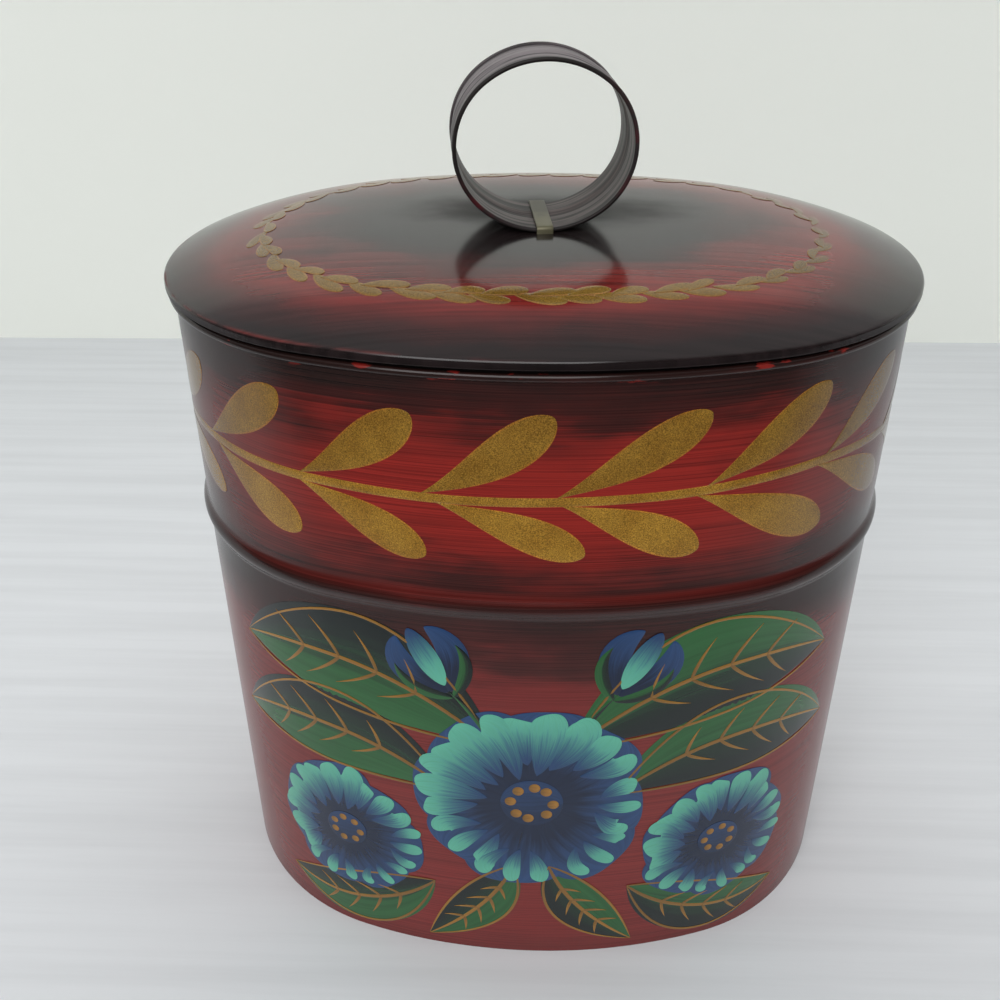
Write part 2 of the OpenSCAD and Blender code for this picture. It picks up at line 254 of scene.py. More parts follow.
def wall_face(size, along, up):
    """Offset of the painted face: the bead is the ridge (1 - q q) squared, q the distance from its middle
    over its reach. The sheet's unevenness is a product of slow sines round the oval and up the wall, which
    fades out over 12 mm to end 4 mm below the top."""
    q = np.clip((up - size.bead_up) / size.bead_half, -1, 1)
    way = pi * np.asarray(along) / half_round(size)
    wave = np.sin(5 * way + 1) * np.sin(up / (31 * MM)) + np.sin(9 * way) * np.sin(up / (47 * MM) + 2)
    edge = np.clip((size.height - 4 * MM - up) / (12 * MM), 0, 1)
    return size.bead_out * (1 - q * q) ** 2 + size.wave * wave * edge * 0.5


def seam_lap(size, along, up, ahead=0.0):
    """Rise of the lapped seam in the middle of the back: one sheet, with a short slope at each edge, which
    can start ahead of the sheet's own."""
    half = half_round(size)
    back = np.abs(np.asarray(along) / half % 2 - 1) * half
    rise = np.clip((size.seam / 2 + ahead - back) / size.seam_slope + 0.5, 0, 1)
    return size.sheet * rise * (up < size.height - size.seam_stop)


def on_wall(size, along, up, lift):
    """Points on the wall's painted face, lifted off it. They rise to the lap just ahead of its slope."""
    lap = seam_lap(size, along, up, 0.75 * size.seam_slope)
    x, y = plan(size, along, wall_face(size, along, up) + lap + lift)
    return np.stack([x, y, up + 0 * x], -1)


def droop(size, x, share):
    """Sag of the lid towards its ends: the square of the way out along X, fading in from the middle."""
    return -size.lid_droop * (x / size.lid_reach) ** 2 * np.minimum(share, 1) ** 2


def dome_slope(size, share):
    """Slope of the dome above the Y axis at a share of the way out: the dome's height times p times the
    share to the power p - 1, over half the depth at the middle of the bend."""
    half = size.depth / 2 + size.lid_reach - size.width / 2 - size.shoulder
    return np.arctan(size.dome * size.dome_power * share ** (size.dome_power - 1) / half)


def bend_middle(size):
    """Offset from the wall and height of the middle of the bend between dome and skirt."""
    drop = size.dome + size.shoulder * np.cos(dome_slope(size, 1.0))
    return size.lid_reach - size.width / 2 - size.shoulder, size.lid_top - drop


def dome_edge(size, depth=0.0):
    """Offset of the dome's edge from the wall, moved into the sheet by depth."""
    return bend_middle(size)[0] + (size.shoulder - depth) * np.sin(dome_slope(size, 1.0))


def dome_rings(size, along, share, depth):
    """Rings of the dome: the plan shrunk to a part of its size. Above the Y axis the height falls by the
    dome's times the share to the power p, and depth moves the point into the sheet along its normal."""
    slope = dome_slope(size, share)
    far = share * (size.depth / 2 + dome_edge(size)) - depth * np.sin(slope)
    up = size.lid_top - size.dome * share ** size.dome_power - depth * np.cos(slope)
    part = (far / (size.depth / 2 + dome_edge(size, depth)))[:, None]
    x, y = (part * p for p in plan(size, along, dome_edge(size, depth)))
    return np.stack([x, y, up[:, None] + droop(size, x, part)], -1)


def on_dome(size, x, y, lift):
    """Points on the dome above x and y, lifted off it. The share of the way out is the distance from
    the middle over the distance of the lid's edge in the same direction."""
    along = np.linspace(-1, 1, 721) * half_round(size)
    edge_x, edge_y = plan(size, along, dome_edge(size))
    way = np.unwrap(np.arctan2(edge_x, -edge_y))
    share = np.hypot(x, y) / np.interp(np.arctan2(x, -y), way, np.hypot(edge_x, edge_y))
    up = size.lid_top - size.dome * share ** size.dome_power
    return np.stack([x, y, up + droop(size, x, share) + lift], -1)


def arc(centre, radius, start, stop, steps):
    """Points [out, up] round a centre, from one angle to another in degrees."""
    way = np.radians(np.linspace(start, stop, steps + 1))
    return np.stack([centre[0] + radius * np.cos(way), centre[1] + radius * np.sin(way)], -1)


def fillet(face, start, end, reach, corner):
    """Hollow solder fillet as [out, up]: out falls from the face by reach times 1 - cos, up runs from start
    to end with sin, over a quarter turn, and the corner on the face closes it."""
    ease = np.linspace(0, pi / 2, 7)
    hollow = np.stack([face - reach * (1 - np.cos(ease)), start + (end - start) * np.sin(ease)], -1)
    return np.concatenate([hollow, [[face, corner]]])


def aside(way):
    """Directions on a flat surface turned a quarter to the left."""
    return np.stack([-way[..., 1], way[..., 0]], -1)


def turned(size, x, y, up):
    """Points turned about the middle of the lid, with the ring."""
    c, s = cos(size.ring_turn), sin(size.ring_turn)
    return np.stack([c * x - s * y, s * x + c * y, up], -1)


def piece(name, points, faces, body, slot, finishes, uv, notes=None, parts=None, crease=40):
    """Makes a mesh piece that rides on a body. Its faces are turned outwards by the sign of its volume,
    the sum over its triangles of a third of face area times height. uv is one pair for each face corner,
    notes are named values for each point, and parts is the finish number of each face."""
    volume = 0.0
    for face in faces:
        for k in range(2, face.shape[1]):
            a, b, c = (points[face[:, j]] for j in (0, k - 1, k))
            volume += np.einsum("ij,ij->", a, np.cross(b, c))
    order = slice(None, None, -1 if volume < 0 else 1)
    mesh = bpy.data.meshes.new(name)
    mesh.from_pydata(points.tolist(), [], [row for face in faces for row in face[:, order].tolist()])
    pairs = np.concatenate([pair[:, order].reshape(-1, 2) for pair in uv])
    layer = mesh.uv_layers.new(name="surface")
    layer.data.foreach_set("uv", pairs.astype(np.float32).ravel())
    for label, values in (notes or {}).items():
        note = mesh.attributes.new(label, "FLOAT", "POINT")
        note.data.foreach_set("value", np.asarray(values, np.float32).ravel())
    for coat in finishes:
        mesh.materials.append(coat)
    if parts is not None:
        mesh.polygons.foreach_set("material_index", np.asarray(parts, np.int32))
    mesh.shade_smooth()
    mesh.set_sharp_from_angle(angle=radians(crease))
    mesh.update()
    made = bpy.data.objects.new(name, mesh)
    bpy.context.scene.collection.objects.link(made)
    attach(made, body)
    return made


def skin_faces(count, around, loop):
    """Faces over count rows of around points that each close on themselves, and the row and place of each
    corner of the quads. With loop the last row joins the first, otherwise a fan of triangles closes each
    end round a point of its own, numbered after the rows."""
    row, at = np.arange(count if loop else count - 1)[:, None], np.arange(around)
    corners = [(row, at), (row, at + 1), (row + 1, at + 1), (row + 1, at)]
    quads = np.stack([(r % count) * around + a % around for r, a in corners], -1).reshape(-1, 4)
    if loop:
        return [quads], corners
    ahead, end, pole = (at + 1) % around, (count - 1) * around, count * around + 0 * at
    fans = [np.stack([pole, ahead, at], -1), np.stack([pole + 1, end + at, end + ahead], -1)]
    return [quads, *fans], corners


def skin(name, rows, along, rise, body, slot, finishes, loop=True, **more):
    """Makes a piece of a skin over rows of points that each close on themselves.

    rows is row by point by xyz. With loop the last row joins the first, otherwise both ends close on the
    mean of their row. The surface map is the length along and the rise of each row."""
    count, around = rows.shape[:2]
    faces, corners = skin_faces(count, around, loop)
    points = rows.reshape(-1, 3)
    far = np.append(along, 2 * along[-1] - along[-2])
    rise = np.append(rise, rise[0])
    pairs = [np.stack(np.broadcast_arrays(far[a], rise[r]), -1) for r, a in corners]
    uv = [np.stack(pairs, 2).reshape(-1, 4, 2)]
    if not loop:
        points = np.concatenate([points, rows[[0, -1]].mean(1)])
        at = np.arange(around)
        for value in (rise[0], rise[-2]):
            uv.append(np.stack([np.stack([far[a], 0 * a + value], -1) for a in (at, at + 1, at)], 1))
    return piece(name, points, faces, body, slot, finishes, uv, **more)


def stations(size, count=320):
    """Lengths along the wall, all the way round from the middle of the back."""
    return np.linspace(-1, 1, count + 1)[:-1] * half_round(size)


def plan_sweep(size, section):
    """Rows of a section, as [out, up], carried all the way round the plan."""
    x, y = plan(size, stations(size)[None], section[:, :1])
    return np.stack([x, y, section[:, 1:] + 0 * x], -1)


def hoop(name, size, section, sag, body, slot, finishes):
    """A piece of one closed section, as [out, up], carried all the way round the plan. sag is the share of
    the lid's sag that each point of the section follows."""
    rows = plan_sweep(size, section)
    rows[..., 2] += np.reshape(sag, (-1, 1)) * droop(size, rows[..., 0], 1.0)
    return skin(name, rows, stations(size), section[:, 1], body, slot, finishes)


def strokes(start, bend, tip, half, taper, film, steps, ring, lift):
    """Brush strokes as flat lens-shaped shells, in two surface directions and height.

    The middle line is the quadratic curve from start over bend to tip. Its half width is half times
    t^a (1 - t)^b over that function's greatest value, with taper = (a, b). Round the line the section is
    cos across and sin up, a film high above its middle, which lies lift films up, and as deep below it.
    Returns points as stroke by point by 3, the faces of one stroke, and t and across at each point."""
    start, bend, tip = (np.asarray(p, float)[:, None] for p in (start, bend, tip))
    t = (1 - np.cos(pi * np.linspace(0, 1, steps + 1))) / 2
    s = t[None, :, None]
    line = (1 - s) ** 2 * start + 2 * s * (1 - s) * bend + s ** 2 * tip
    way = 2 * (1 - s) * (bend - start) + 2 * s * (tip - bend)
    way /= np.linalg.norm(way, axis=-1, keepdims=True) + 1e-12
    a, b = taper
    peak = a / (a + b)
    wide = t ** a * (1 - t) ** b / (peak ** a * (1 - peak) ** b) * np.reshape(half, (-1, 1))
    round_line = 2 * pi * np.arange(ring) / ring
    across = np.cos(round_line)
    inner = slice(1, -1)
    flat = line[:, inner, None] + (aside(way) * wide[..., None])[:, inner, None] * across[:, None]
    high = np.broadcast_to(film * (lift + np.sin(round_line)), flat.shape[:-1])
    body = np.concatenate([flat, high[..., None]], -1).reshape(len(start), -1, 3)
    poles = np.concatenate([line[:, [0, -1]], np.full((len(start), 2, 1), lift * film)], -1)
    pairs = np.stack([
        np.concatenate([np.repeat(t[inner], ring), [0, 1]]),
        np.concatenate([np.tile(across / 2 + 0.5, steps - 1), [0.5, 0.5]]),
    ], -1)
    return np.concatenate([body, poles], 1), skin_faces(steps - 1, ring, False)[0], pairs


# What is painted on: the function of the surface, and the body and slot of the paint
GROUNDS = {"wall": (on_wall, "body", "wall_paint"), "lid": (on_dome, "lid", "lid_paint")}


def paint(name, ground, coat, curve, half, taper, grid, lift):
    """Paints strokes on a ground as one piece, with t and across as its surface map and a number from
    0 to 1 for each stroke. curve is start, bend and tip, half and taper shape its width, grid is the steps
    along and round a stroke, and lift the height of its middle in films."""
    scene = bpy.context.scene
    place, body, slot = GROUNDS[ground]
    points, faces, pairs = strokes(*curve, half, taper, scene.tin_painting.film, *grid, lift)
    count, each = points.shape[:2]
    where = place(scene.tin_sizes, *np.moveaxis(points, -1, 0)).reshape(-1, 3)
    shift = each * np.arange(count)[:, None, None]
    joined = [(face[None] + shift).reshape(-1, face.shape[1]) for face in faces]
    uv = [np.tile(pairs[face], (count, 1, 1)) for face in faces]
    # Steps by the golden share keep the numbers of neighbours apart
    note = np.repeat((np.arange(count) * 0.618) % 1, each)
    piece(name, where, joined, body, slot, [coat], uv, {"stroke": note}, crease=80)


def add(tree, kind, inputs=None, stops=None, out=0, **settings):
    """Adds a node and gives its output, the first unless out names another. inputs maps a socket's name or
    number to a value or to the socket that feeds it, stops are the places and colours of a ramp, in rising
    order, and settings are the node's own. A Mix node mixes colours."""
    made = tree.nodes.new("ShaderNode" + kind)
    if kind == "Mix":
        made.data_type, out = "RGBA", 2
    for key, value in settings.items():
        setattr(made, key, value)
    for key, value in (inputs or {}).items():
        if isinstance(value, bpy.types.NodeSocket):
            tree.links.new(value, made.inputs[key])
        else:
            made.inputs[key].default_value = value
    for k, (place, value) in enumerate(stops or []):
        ramp = made.color_ramp.elements
        mark = ramp[k] if k < 2 else ramp.new(place)
        mark.position, mark.color = place, value
    return made.outputs[out] if made.outputs else made


def finish(name, build):
    """A material with its output fed by the shader that build makes."""
    made = bpy.data.materials.new(name)
    made.use_nodes = True
    made.node_tree.nodes.clear()
    add(made.node_tree, "OutputMaterial", {"Surface": build(made.node_tree)})
    return made


def grey(value):
    """A grey ramp colour."""
    return (value, value, value, 1.0)


def greys(*pairs):
    """Ramp stops from places and grey values."""
    return [(place, grey(value)) for place, value in pairs]


def mix(first, second, share):
    """A colour a share of the way from the first to the second."""
    return tuple(a * (1 - share) + b * share for a, b in zip(first, second))


def varnished(tree, tone, bump, rough=0.12, weight=1.0):
    """Paint sealed under clear varnish: the varnish is the only face that reflects."""
    return add(tree, "BsdfPrincipled", {
        "Base Color": tone, "Roughness": 0.6, "Specular IOR Level": 0.0, "Normal": bump,
        "Coat Weight": weight, "Coat Roughness": rough, "Coat IOR": 1.5,
    })


def veiled(tree, tone, noise, low, high, dim):
    """A tone under a veil: dimmed to dim where a noise is at low, and clear where it is at high."""
    veil = add(tree, "ValToRGB", {0: noise}, stops=[(low, dim), (high, grey(1.0))])
    return add(tree, "Mix", {0: 1.0, 6: tone, 7: veil}, blend_type="MULTIPLY")


def shifted(tree, value, noises):
    """A value moved by noises, each given with its reach either side of the middle."""
    for noise, reach in noises:
        value = add(tree, "Math", {0: noise, 1: 2 * reach, 2: value}, operation="MULTIPLY_ADD")
        value = add(tree, "Math", {0: value, 1: reach}, operation="SUBTRACT")
    return value


def streaked(tree, place, spread, detail=4.0):
    """Noise drawn out by a different scale on each axis, in lumps per metre."""
    drawn = add(tree, "VectorMath", {0: place, 1: spread}, operation="MULTIPLY")
    return add(tree, "TexNoise", {"Vector": drawn, "Scale": 1.0, "Detail": detail, "Roughness": 0.62})


def japanned_wall(paints, size):
    """Red japanning, hand brushed with a dark glaze that fades in towards the rim and the bead, then
    varnished: the eye sees long level brush streaks under a smooth, clear gloss. Towards the ends of the
    oval the glaze colour is mixed in as painted shade."""
    red, brown, dark = paints.red, paints.brown, paints.glaze
    # Height in millimetres, ground colour and the share of dark glaze over it
    coats = (
        (0, brown, 0.25), (8, brown, 0.05), (60, brown, 0.1), (82, brown, 0.2), (89, brown, 0.75),
        (98, red, 0.93), (106, red, 0.86), (110, red, 0.62), (114.5, red, 0.25), (121, red, 0.04),
        (132, red, 0.05), (138.5, red, 0.42), (143, red, 0.84), (151, red, 0.95),
    )

    def at_heights(pairs):
        """Ramp stops from heights in millimetres and colours, over the height of the wall."""
        return [(z * MM / size.height, tone) for z, tone in pairs]

    def build(tree):
        uv = add(tree, "UVMap", uv_map="surface")
        along, up, _ = add(tree, "SeparateXYZ", {0: uv}).node.outputs
        # Streaks 70 mm long and 0.7 mm high, hairs 0.3 mm high, and clouds 35 by 11 mm
        streak = streaked(tree, uv, (14, 1500, 0))
        hair = streaked(tree, uv, (11, 3300, 7))
        cloud = streaked(tree, uv, (28, 90, 3), 3.0)
        level = shifted(tree, up, [(streak, 6 * MM), (cloud, 13 * MM)])
        level = add(tree, "Math", {0: level, 1: size.height}, operation="DIVIDE")
        height = add(tree, "Math", {0: up, 1: size.height}, operation="DIVIDE")
        stops = at_heights((z, mix(ground, dark, share)) for z, ground, share in coats)
        tone = add(tree, "ValToRGB", {0: level}, stops=stops)
        # Redder strip on the upper slope of the bead
        stops = at_heights(greys((103, 0), (103.5, 0.9), (104.6, 0.7), (105.5, 0)))
        strip = add(tree, "ValToRGB", {0: height}, stops=stops)
        tone = add(tree, "Mix", {0: strip, 6: tone, 7: mix(red, dark, 0.62)})
        # Painted shade in the glaze colour: darker round the ends of the oval, most of all above the bead
        end = add(tree, "Math", {0: along}, operation="ABSOLUTE")
        end = shifted(tree, end, [(cloud, 12 * MM)])
        end = add(tree, "Math", {0: end, 1: half_round(size) / 2}, operation="SUBTRACT")
        end = add(tree, "Math", {0: end}, operation="ABSOLUTE")
        end = add(tree, "MapRange", {0: end, 1: 30 * MM, 2: 74 * MM, 3: 0.68, 4: 0.0})
        above = add(tree, "MapRange", {0: up, 1: 84 * MM, 2: 100 * MM, 3: 0.2, 4: 1.0})
        end = add(tree, "Math", {0: end, 1: above}, operation="MULTIPLY")
        tone = add(tree, "Mix", {0: end, 6: tone, 7: dark})
        tone = veiled(tree, tone, hair, 0.38, 0.55, grey(0.58))
        # Red chips on the rolled rim
        chip = streaked(tree, uv, (95, 420, 11), 3.0)
        chip = add(tree, "ValToRGB", {0: chip}, stops=greys((0.63, 0), (0.66, 1)))
        rim = add(tree, "ValToRGB", {0: height}, stops=at_heights(greys((148.6, 0), (149.2, 1))))
        chip = add(tree, "Math", {0: chip, 1: rim}, operation="MULTIPLY")
        tone = add(tree, "Mix", {0: chip, 6: tone, 7: mix(red, dark, 0.25)})
        bump = add(tree, "Bump", {"Height": streak, "Strength": 0.3, "Distance": 0.03 * MM})
        return varnished(tree, tone, bump, 0.16, 0.8)

    return finish("Japanned_tinplate_wall", build)


def japanned_lid(paints, size):
    """The same japanning on the lid, shaded by hand from a black middle, longer to the left, through red
    to a dark edge. The bend at the edge is rubbed to the red ground on the left."""
    red, dark = paints.red, mix(paints.glaze, paints.navy, 0.05)

    def build(tree):
        place = add(tree, "TexCoord", out="Object")
        # Level streaks 40 mm long and 0.8 mm wide, and clouds 25 by 17 mm
        streak = streaked(tree, place, (25, 1250, 60))
        cloud = streaked(tree, place, (40, 60, 60), 3.0)
        share = add(tree, "Attribute", out="Fac", attribute_name="share")
        x = add(tree, "SeparateXYZ", {0: place})
        x = add(tree, "Math", {0: x, 1: size.lid_reach}, operation="DIVIDE")
        # Dark glaze over the red from the middle out, as a share of 0.57 - 0.08 x + 0.2 x x
        inner = add(tree, "Math", {0: x, 1: 0.2, 2: -0.08}, operation="MULTIPLY_ADD")
        inner = add(tree, "Math", {0: x, 1: inner, 2: 0.57}, operation="MULTIPLY_ADD")
        inner = add(tree, "Math", {0: share, 1: inner}, operation="DIVIDE")
        inner = shifted(tree, inner, [(streak, 0.08), (cloud, 0.3)])
        inner = add(tree, "Math", {0: inner, 1: 0.5}, operation="MULTIPLY")
        stops = greys((0.34, 0.985), (0.42, 0.92), (0.52, 0.64), (0.62, 0.4), (0.74, 0.3))
        inner = add(tree, "ValToRGB", {0: inner}, stops=stops)
        # And from the edge in, shifted by 0.02 x - 0.02 x x
        outer = add(tree, "Math", {0: x, 1: -0.02, 2: 0.02}, operation="MULTIPLY_ADD")
        outer = add(tree, "Math", {0: x, 1: outer, 2: share}, operation="MULTIPLY_ADD")
        outer = shifted(tree, outer, [(streak, 0.04), (cloud, 0.07)])
        stops = greys((0.7, 0.3), (0.79, 0.46), (0.85, 0.74), (0.89, 0.88), (0.96, 0.98))
        outer = add(tree, "ValToRGB", {0: outer}, stops=stops)
        glaze = add(tree, "Math", {0: inner, 1: outer}, operation="MAXIMUM")
        tone = add(tree, "Mix", {0: glaze, 6: red, 7: dark})
        # A broken rubbed line along the left half of the bend
        rubbed = add(tree, "Math", {0: share, 1: 0.5}, operation="MULTIPLY")
        stops = greys((0.497, 0), (0.503, 1), (0.509, 1), (0.516, 0))
        rubbed = add(tree, "ValToRGB", {0: rubbed}, stops=stops)
        left = add(tree, "MapRange", {0: x, 1: 0.05, 2: -0.3, 3: 0.0, 4: 1.0})
        broken = add(tree, "ValToRGB", {0: cloud}, stops=greys((0.42, 0), (0.6, 0.8)))
        left = add(tree, "Math", {0: left, 1: broken}, operation="MULTIPLY")
        rubbed = add(tree, "Math", {0: rubbed, 1: left}, operation="MULTIPLY")
        tone = add(tree, "Mix", {0: rubbed, 6: tone, 7: mix(red, dark, 0.45)})
        tone = veiled(tree, tone, streak, 0.36, 0.58, grey(0.55))
        bump = add(tree, "Bump", {"Height": streak, "Strength": 0.2, "Distance": 0.02 * MM})
        rough = add(tree, "MapRange", {0: rubbed, 1: 0.0, 2: 0.5, 3: 0.15, 4: 0.5})
        # Dull to the sides of the ring's foot and behind it, 28 mm to each side and 12 mm deep
        spot = add(tree, "VectorMath", {0: place, 1: (0, 6 * MM, 0)}, operation="SUBTRACT")
        spread = (1 / (28 * MM), 1 / (12 * MM), 0)
        spot = add(tree, "VectorMath", {0: spot, 1: spread}, operation="MULTIPLY")
        spot = add(tree, "VectorMath", {0: spot}, out="Value", operation="LENGTH")
        spot = shifted(tree, spot, [(cloud, 0.5)])
        weight = {0: spot, 1: 0.3, 2: 1.2, 3: 0.3, 4: 0.96}
        weight = add(tree, "MapRange", weight, interpolation_type="SMOOTHSTEP")
        # The skirt below the bend hardly shines
        skirt = add(tree, "MapRange", {0: share, 1: 1.03, 2: 1.06, 3: 1.0, 4: 0.35})
        weight = add(tree, "Math", {0: weight, 1: skirt}, operation="MULTIPLY")
        return varnished(tree, tone, bump, rough, weight)

    return finish("Japanned_tinplate_lid", build)


def bronze_powder_gold(name, gold, pooled, reach):
    """Gold paint of bronze powder in varnish: a fine glinting grain, darker where the paint is thin, and a
    thin warm rim where it pooled along the edges of a stroke, over the share of its width in pooled.
    Painted shade dims it towards the ends of the oval, which lie at reach from the middle, most of all on
    the right."""
    clear, rim = grey(1.0), (1.4, 1.1, 1.15, 1.0)

    def build(tree):
        place = add(tree, "TexCoord", out="Object")
        uv = add(tree, "UVMap", uv_map="surface")
        # Grains of a fifth of a millimetre, coarser than real powder so that they show, and 8 mm clouds
        grain = add(tree, "TexNoise", {"Vector": place, "Scale": 4800.0, "Detail": 1.0})
        cloud = add(tree, "TexNoise", {"Vector": place, "Scale": 130.0, "Detail": 3.0})
        shares = ((0.3, 0.5), (0.5, 0.95), (0.7, 1.5))
        stops = [(level, mix(grey(0), gold, share)) for level, share in shares]
        tone = add(tree, "ValToRGB", {0: grain}, stops=stops)
        tone = veiled(tree, tone, cloud, 0.34, 0.62, (0.78, 0.72, 0.6, 1.0))
        across = add(tree, "SeparateXYZ", {0: uv}, out=1)
        edge = add(tree, "ValToRGB", {0: across}, stops=[
            (0.0, rim), (pooled, rim), (2 * pooled, clear),
            (1 - 2 * pooled, clear), (1 - pooled, rim), (1.0, rim),
        ])
        tone = add(tree, "Mix", {0: 1.0, 6: tone, 7: edge}, blend_type="MULTIPLY")
        # Painted shade: the gold dims towards the ends of the oval, most on the right
        side = add(tree, "SeparateXYZ", {0: place})
        side = add(tree, "MapRange", {0: side, 1: -reach, 2: reach})
        stops = greys((0.02, 0.4), (0.1, 0.75), (0.22, 1.0), (0.72, 1.0), (0.88, 0.62), (0.97, 0.35))
        dull = add(tree, "ValToRGB", {0: side}, stops=stops)
        tone = add(tree, "Mix", {0: 1.0, 6: tone, 7: dull}, blend_type="MULTIPLY")
        bump = add(tree, "Bump", {"Height": grain, "Strength": 0.15, "Distance": 0.02 * MM})
        return varnished(tree, tone, bump, 0.16)

    return finish(name, build)


def stroke_paint(name, stops, jitter, along=True):
    """Brushed oil paint. Its colour runs along or across each stroke, streaked by the brush's hairs."""

    def build(tree):
        uv = add(tree, "UVMap", uv_map="surface")
        t, across, _ = add(tree, "SeparateXYZ", {0: uv}).node.outputs
        each = add(tree, "Attribute", out="Fac", attribute_name="stroke")
        place = add(tree, "CombineXYZ", {0: t, 1: across, 2: each})
        # About seventeen hair streaks across a stroke, and others in each stroke
        streak = streaked(tree, place, (1.2, 17.0, 40.0), 3.0)
        run = shifted(tree, t if along else across, [(streak, jitter)])
        tone = add(tree, "ValToRGB", {0: run}, stops=stops)
        tone = veiled(tree, tone, streak, 0.32, 0.6, grey(0.78))
        bump = add(tree, "Bump", {"Height": streak, "Strength": 0.4, "Distance": 0.04 * MM})
        return varnished(tree, tone, bump)

    return finish(name, build)


def worn_metal(name, base, metallic, roughness, scale, low=0.75, coat=0.0):
    """Sheet or cast metal with a cloudy tone: stains and thin varnish from noise of the given scale, in
    lumps per metre, which dims the tone to low."""

    def build(tree):
        place = add(tree, "TexCoord", out="Object")
        cloud = add(tree, "TexNoise", {"Vector": place, "Scale": scale, "Detail": 4.0})
        tone = veiled(tree, base, cloud, 0.3, 0.7, grey(low))
        rough = add(tree, "MapRange", {0: cloud, 3: roughness * 0.8, 4: roughness * 1.2})
        return add(tree, "BsdfPrincipled", {
            "Base Color": tone, "Metallic": metallic, "Roughness": rough,
            "Coat Weight": coat, "Coat Roughness": 0.15,
        })

    return finish(name, build)


def ring_finish(paints):
    """Thin grey-brown lacquer over bright tinplate, streaked round the band, dark along the rolled edges
    and worn there to the red ground."""

    def build(tree):
        uv = add(tree, "UVMap", uv_map="surface")
        # Streaks 40 mm long and 1.4 mm wide, and spots of 7 mm
        streak = streaked(tree, uv, (25, 700, 0))
        cloud = streaked(tree, uv, (140, 140, 5), 3.0)
        edge, worn, inside = (
            add(tree, "Attribute", out="Fac", attribute_name=note) for note in ("edge", "worn", "inside")
        )
        tone = veiled(tree, paints.lacquer, streak, 0.42, 0.57, grey(0.12))
        tone = add(tree, "Mix", {0: inside, 6: tone, 7: (0.6, 0.55, 0.5, 1.0)}, blend_type="MULTIPLY")
        tone = add(tree, "Mix", {0: edge, 6: tone, 7: paints.ring_edge})
        spots = add(tree, "ValToRGB", {0: cloud}, stops=greys((0.45, 0), (0.65, 0.9)))
        worn = add(tree, "Math", {0: worn, 1: spots}, operation="MULTIPLY", use_clamp=True)
        tone = add(tree, "Mix", {0: worn, 6: tone, 7: paints.ring_wear})
        bump = add(tree, "Bump", {"Height": streak, "Strength": 0.3, "Distance": 0.03 * MM})
        return add(tree, "BsdfPrincipled", {
            "Base Color": tone, "Metallic": 0.15, "Roughness": 0.5, "Normal": bump,
            "Specular IOR Level": 0.2, "Coat Weight": 0.12, "Coat Roughness": 0.25,
        })

    return finish("Grey_brown_lacquer_on_tinplate", build)


def strap_finish(paints):
    """Bare strap under yellowed varnish, dull with dirt inside the ring and rubbed clean at the front."""

    def build(tree):
        place = add(tree, "TexCoord", out="Object")
        cloud = add(tree, "TexNoise", {"Vector": place, "Scale": 420.0, "Detail": 4.0})
        y = add(tree, "SeparateXYZ", {0: place}, out=1)
        clean = {0: shifted(tree, y, [(cloud, 4 * MM)]), 1: 3 * MM, 2: -7 * MM, 3: 0.3, 4: 1.0}
        clean = add(tree, "MapRange", clean, interpolation_type="SMOOTHSTEP")
        tone = add(tree, "Mix", {0: clean, 6: paints.dirt, 7: paints.strap})
        return add(tree, "BsdfPrincipled", {
            "Base Color": tone, "Metallic": 0.5, "Roughness": 0.5,
            "Coat Weight": 0.2, "Coat Roughness": 0.3,
        })

    return finish("Yellowed_tinplate_strap", build)


class TINBOX_OT_wall(bpy.types.Operator):
    """Builds the wall with its bead, rolled rim and lapped seam, and the wire in the rim"""

    bl_idname = "tinbox.wall"
    bl_label = "Wall and rim wire"

    def execute(self, context):
        size, paints, _ = chosen(context)
        hole = size.wire / 2 + size.wire_gap
        roll = hole + size.sheet
        centre = (hole, size.height - roll)
        end = -np.degrees(np.arccos((size.roll_slit - hole) / roll))
        low, high = size.bead_up - size.bead_half, size.bead_up + size.bead_half
        up = np.concatenate([
            np.linspace(0, low, 24), np.linspace(low, high, 26)[1:],
            np.linspace(high, centre[1] - size.sheet, 14)[1:],
        ])
        section = np.concatenate([
            np.stack([0 * up, up], -1), arc(centre, hole, 180, end, 18), arc(centre, roll, end, 180, 26),
            np.stack([0 * up - size.sheet, up], -1)[::-1],
        ])
        outer, rolled = len(up), len(section) - len(up)
        # Lengths from one edge of the lap round to the other, with the lap's slopes between stations
        half, edge = half_round(size), (size.seam + size.seam_slope) / 2
        lap = edge - size.seam_slope
        along = np.append(np.linspace(edge - half, half - edge, 380), half + np.linspace(-lap, lap, 5))
        face = wall_face(size, along[None], section[:, 1:]) + 0 * along
        face[:outer] += seam_lap(size, along[None], section[:outer, 1:])
        face[outer:rolled] = 0
        x, y = plan(size, along[None], section[:, :1] + face)
        rows = np.stack([x, y, section[:, 1:] + 0 * x], -1)
        bare = worn_metal("Tinplate_inside", paints.tinplate, 0.9, 0.45, 120)
        wall = skin(
            "wall", rows, along, section[:, 1], "body", "wall_paint", [japanned_wall(paints, size), bare],
            parts=np.repeat(np.arange(len(section)) >= rolled, len(along)),
        )
        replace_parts(wall, "body_wall")
        iron = worn_metal("Drawn_iron_wire", paints.wire, 1.0, 0.4, 300)
        section = arc(centre, size.wire / 2, 0, 360, 14)[:-1]
        wire = hoop("rim_wire_round", size, section, 0, "body", "wire", [iron])
        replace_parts(wire, "rim_wire")
        return {"FINISHED"}


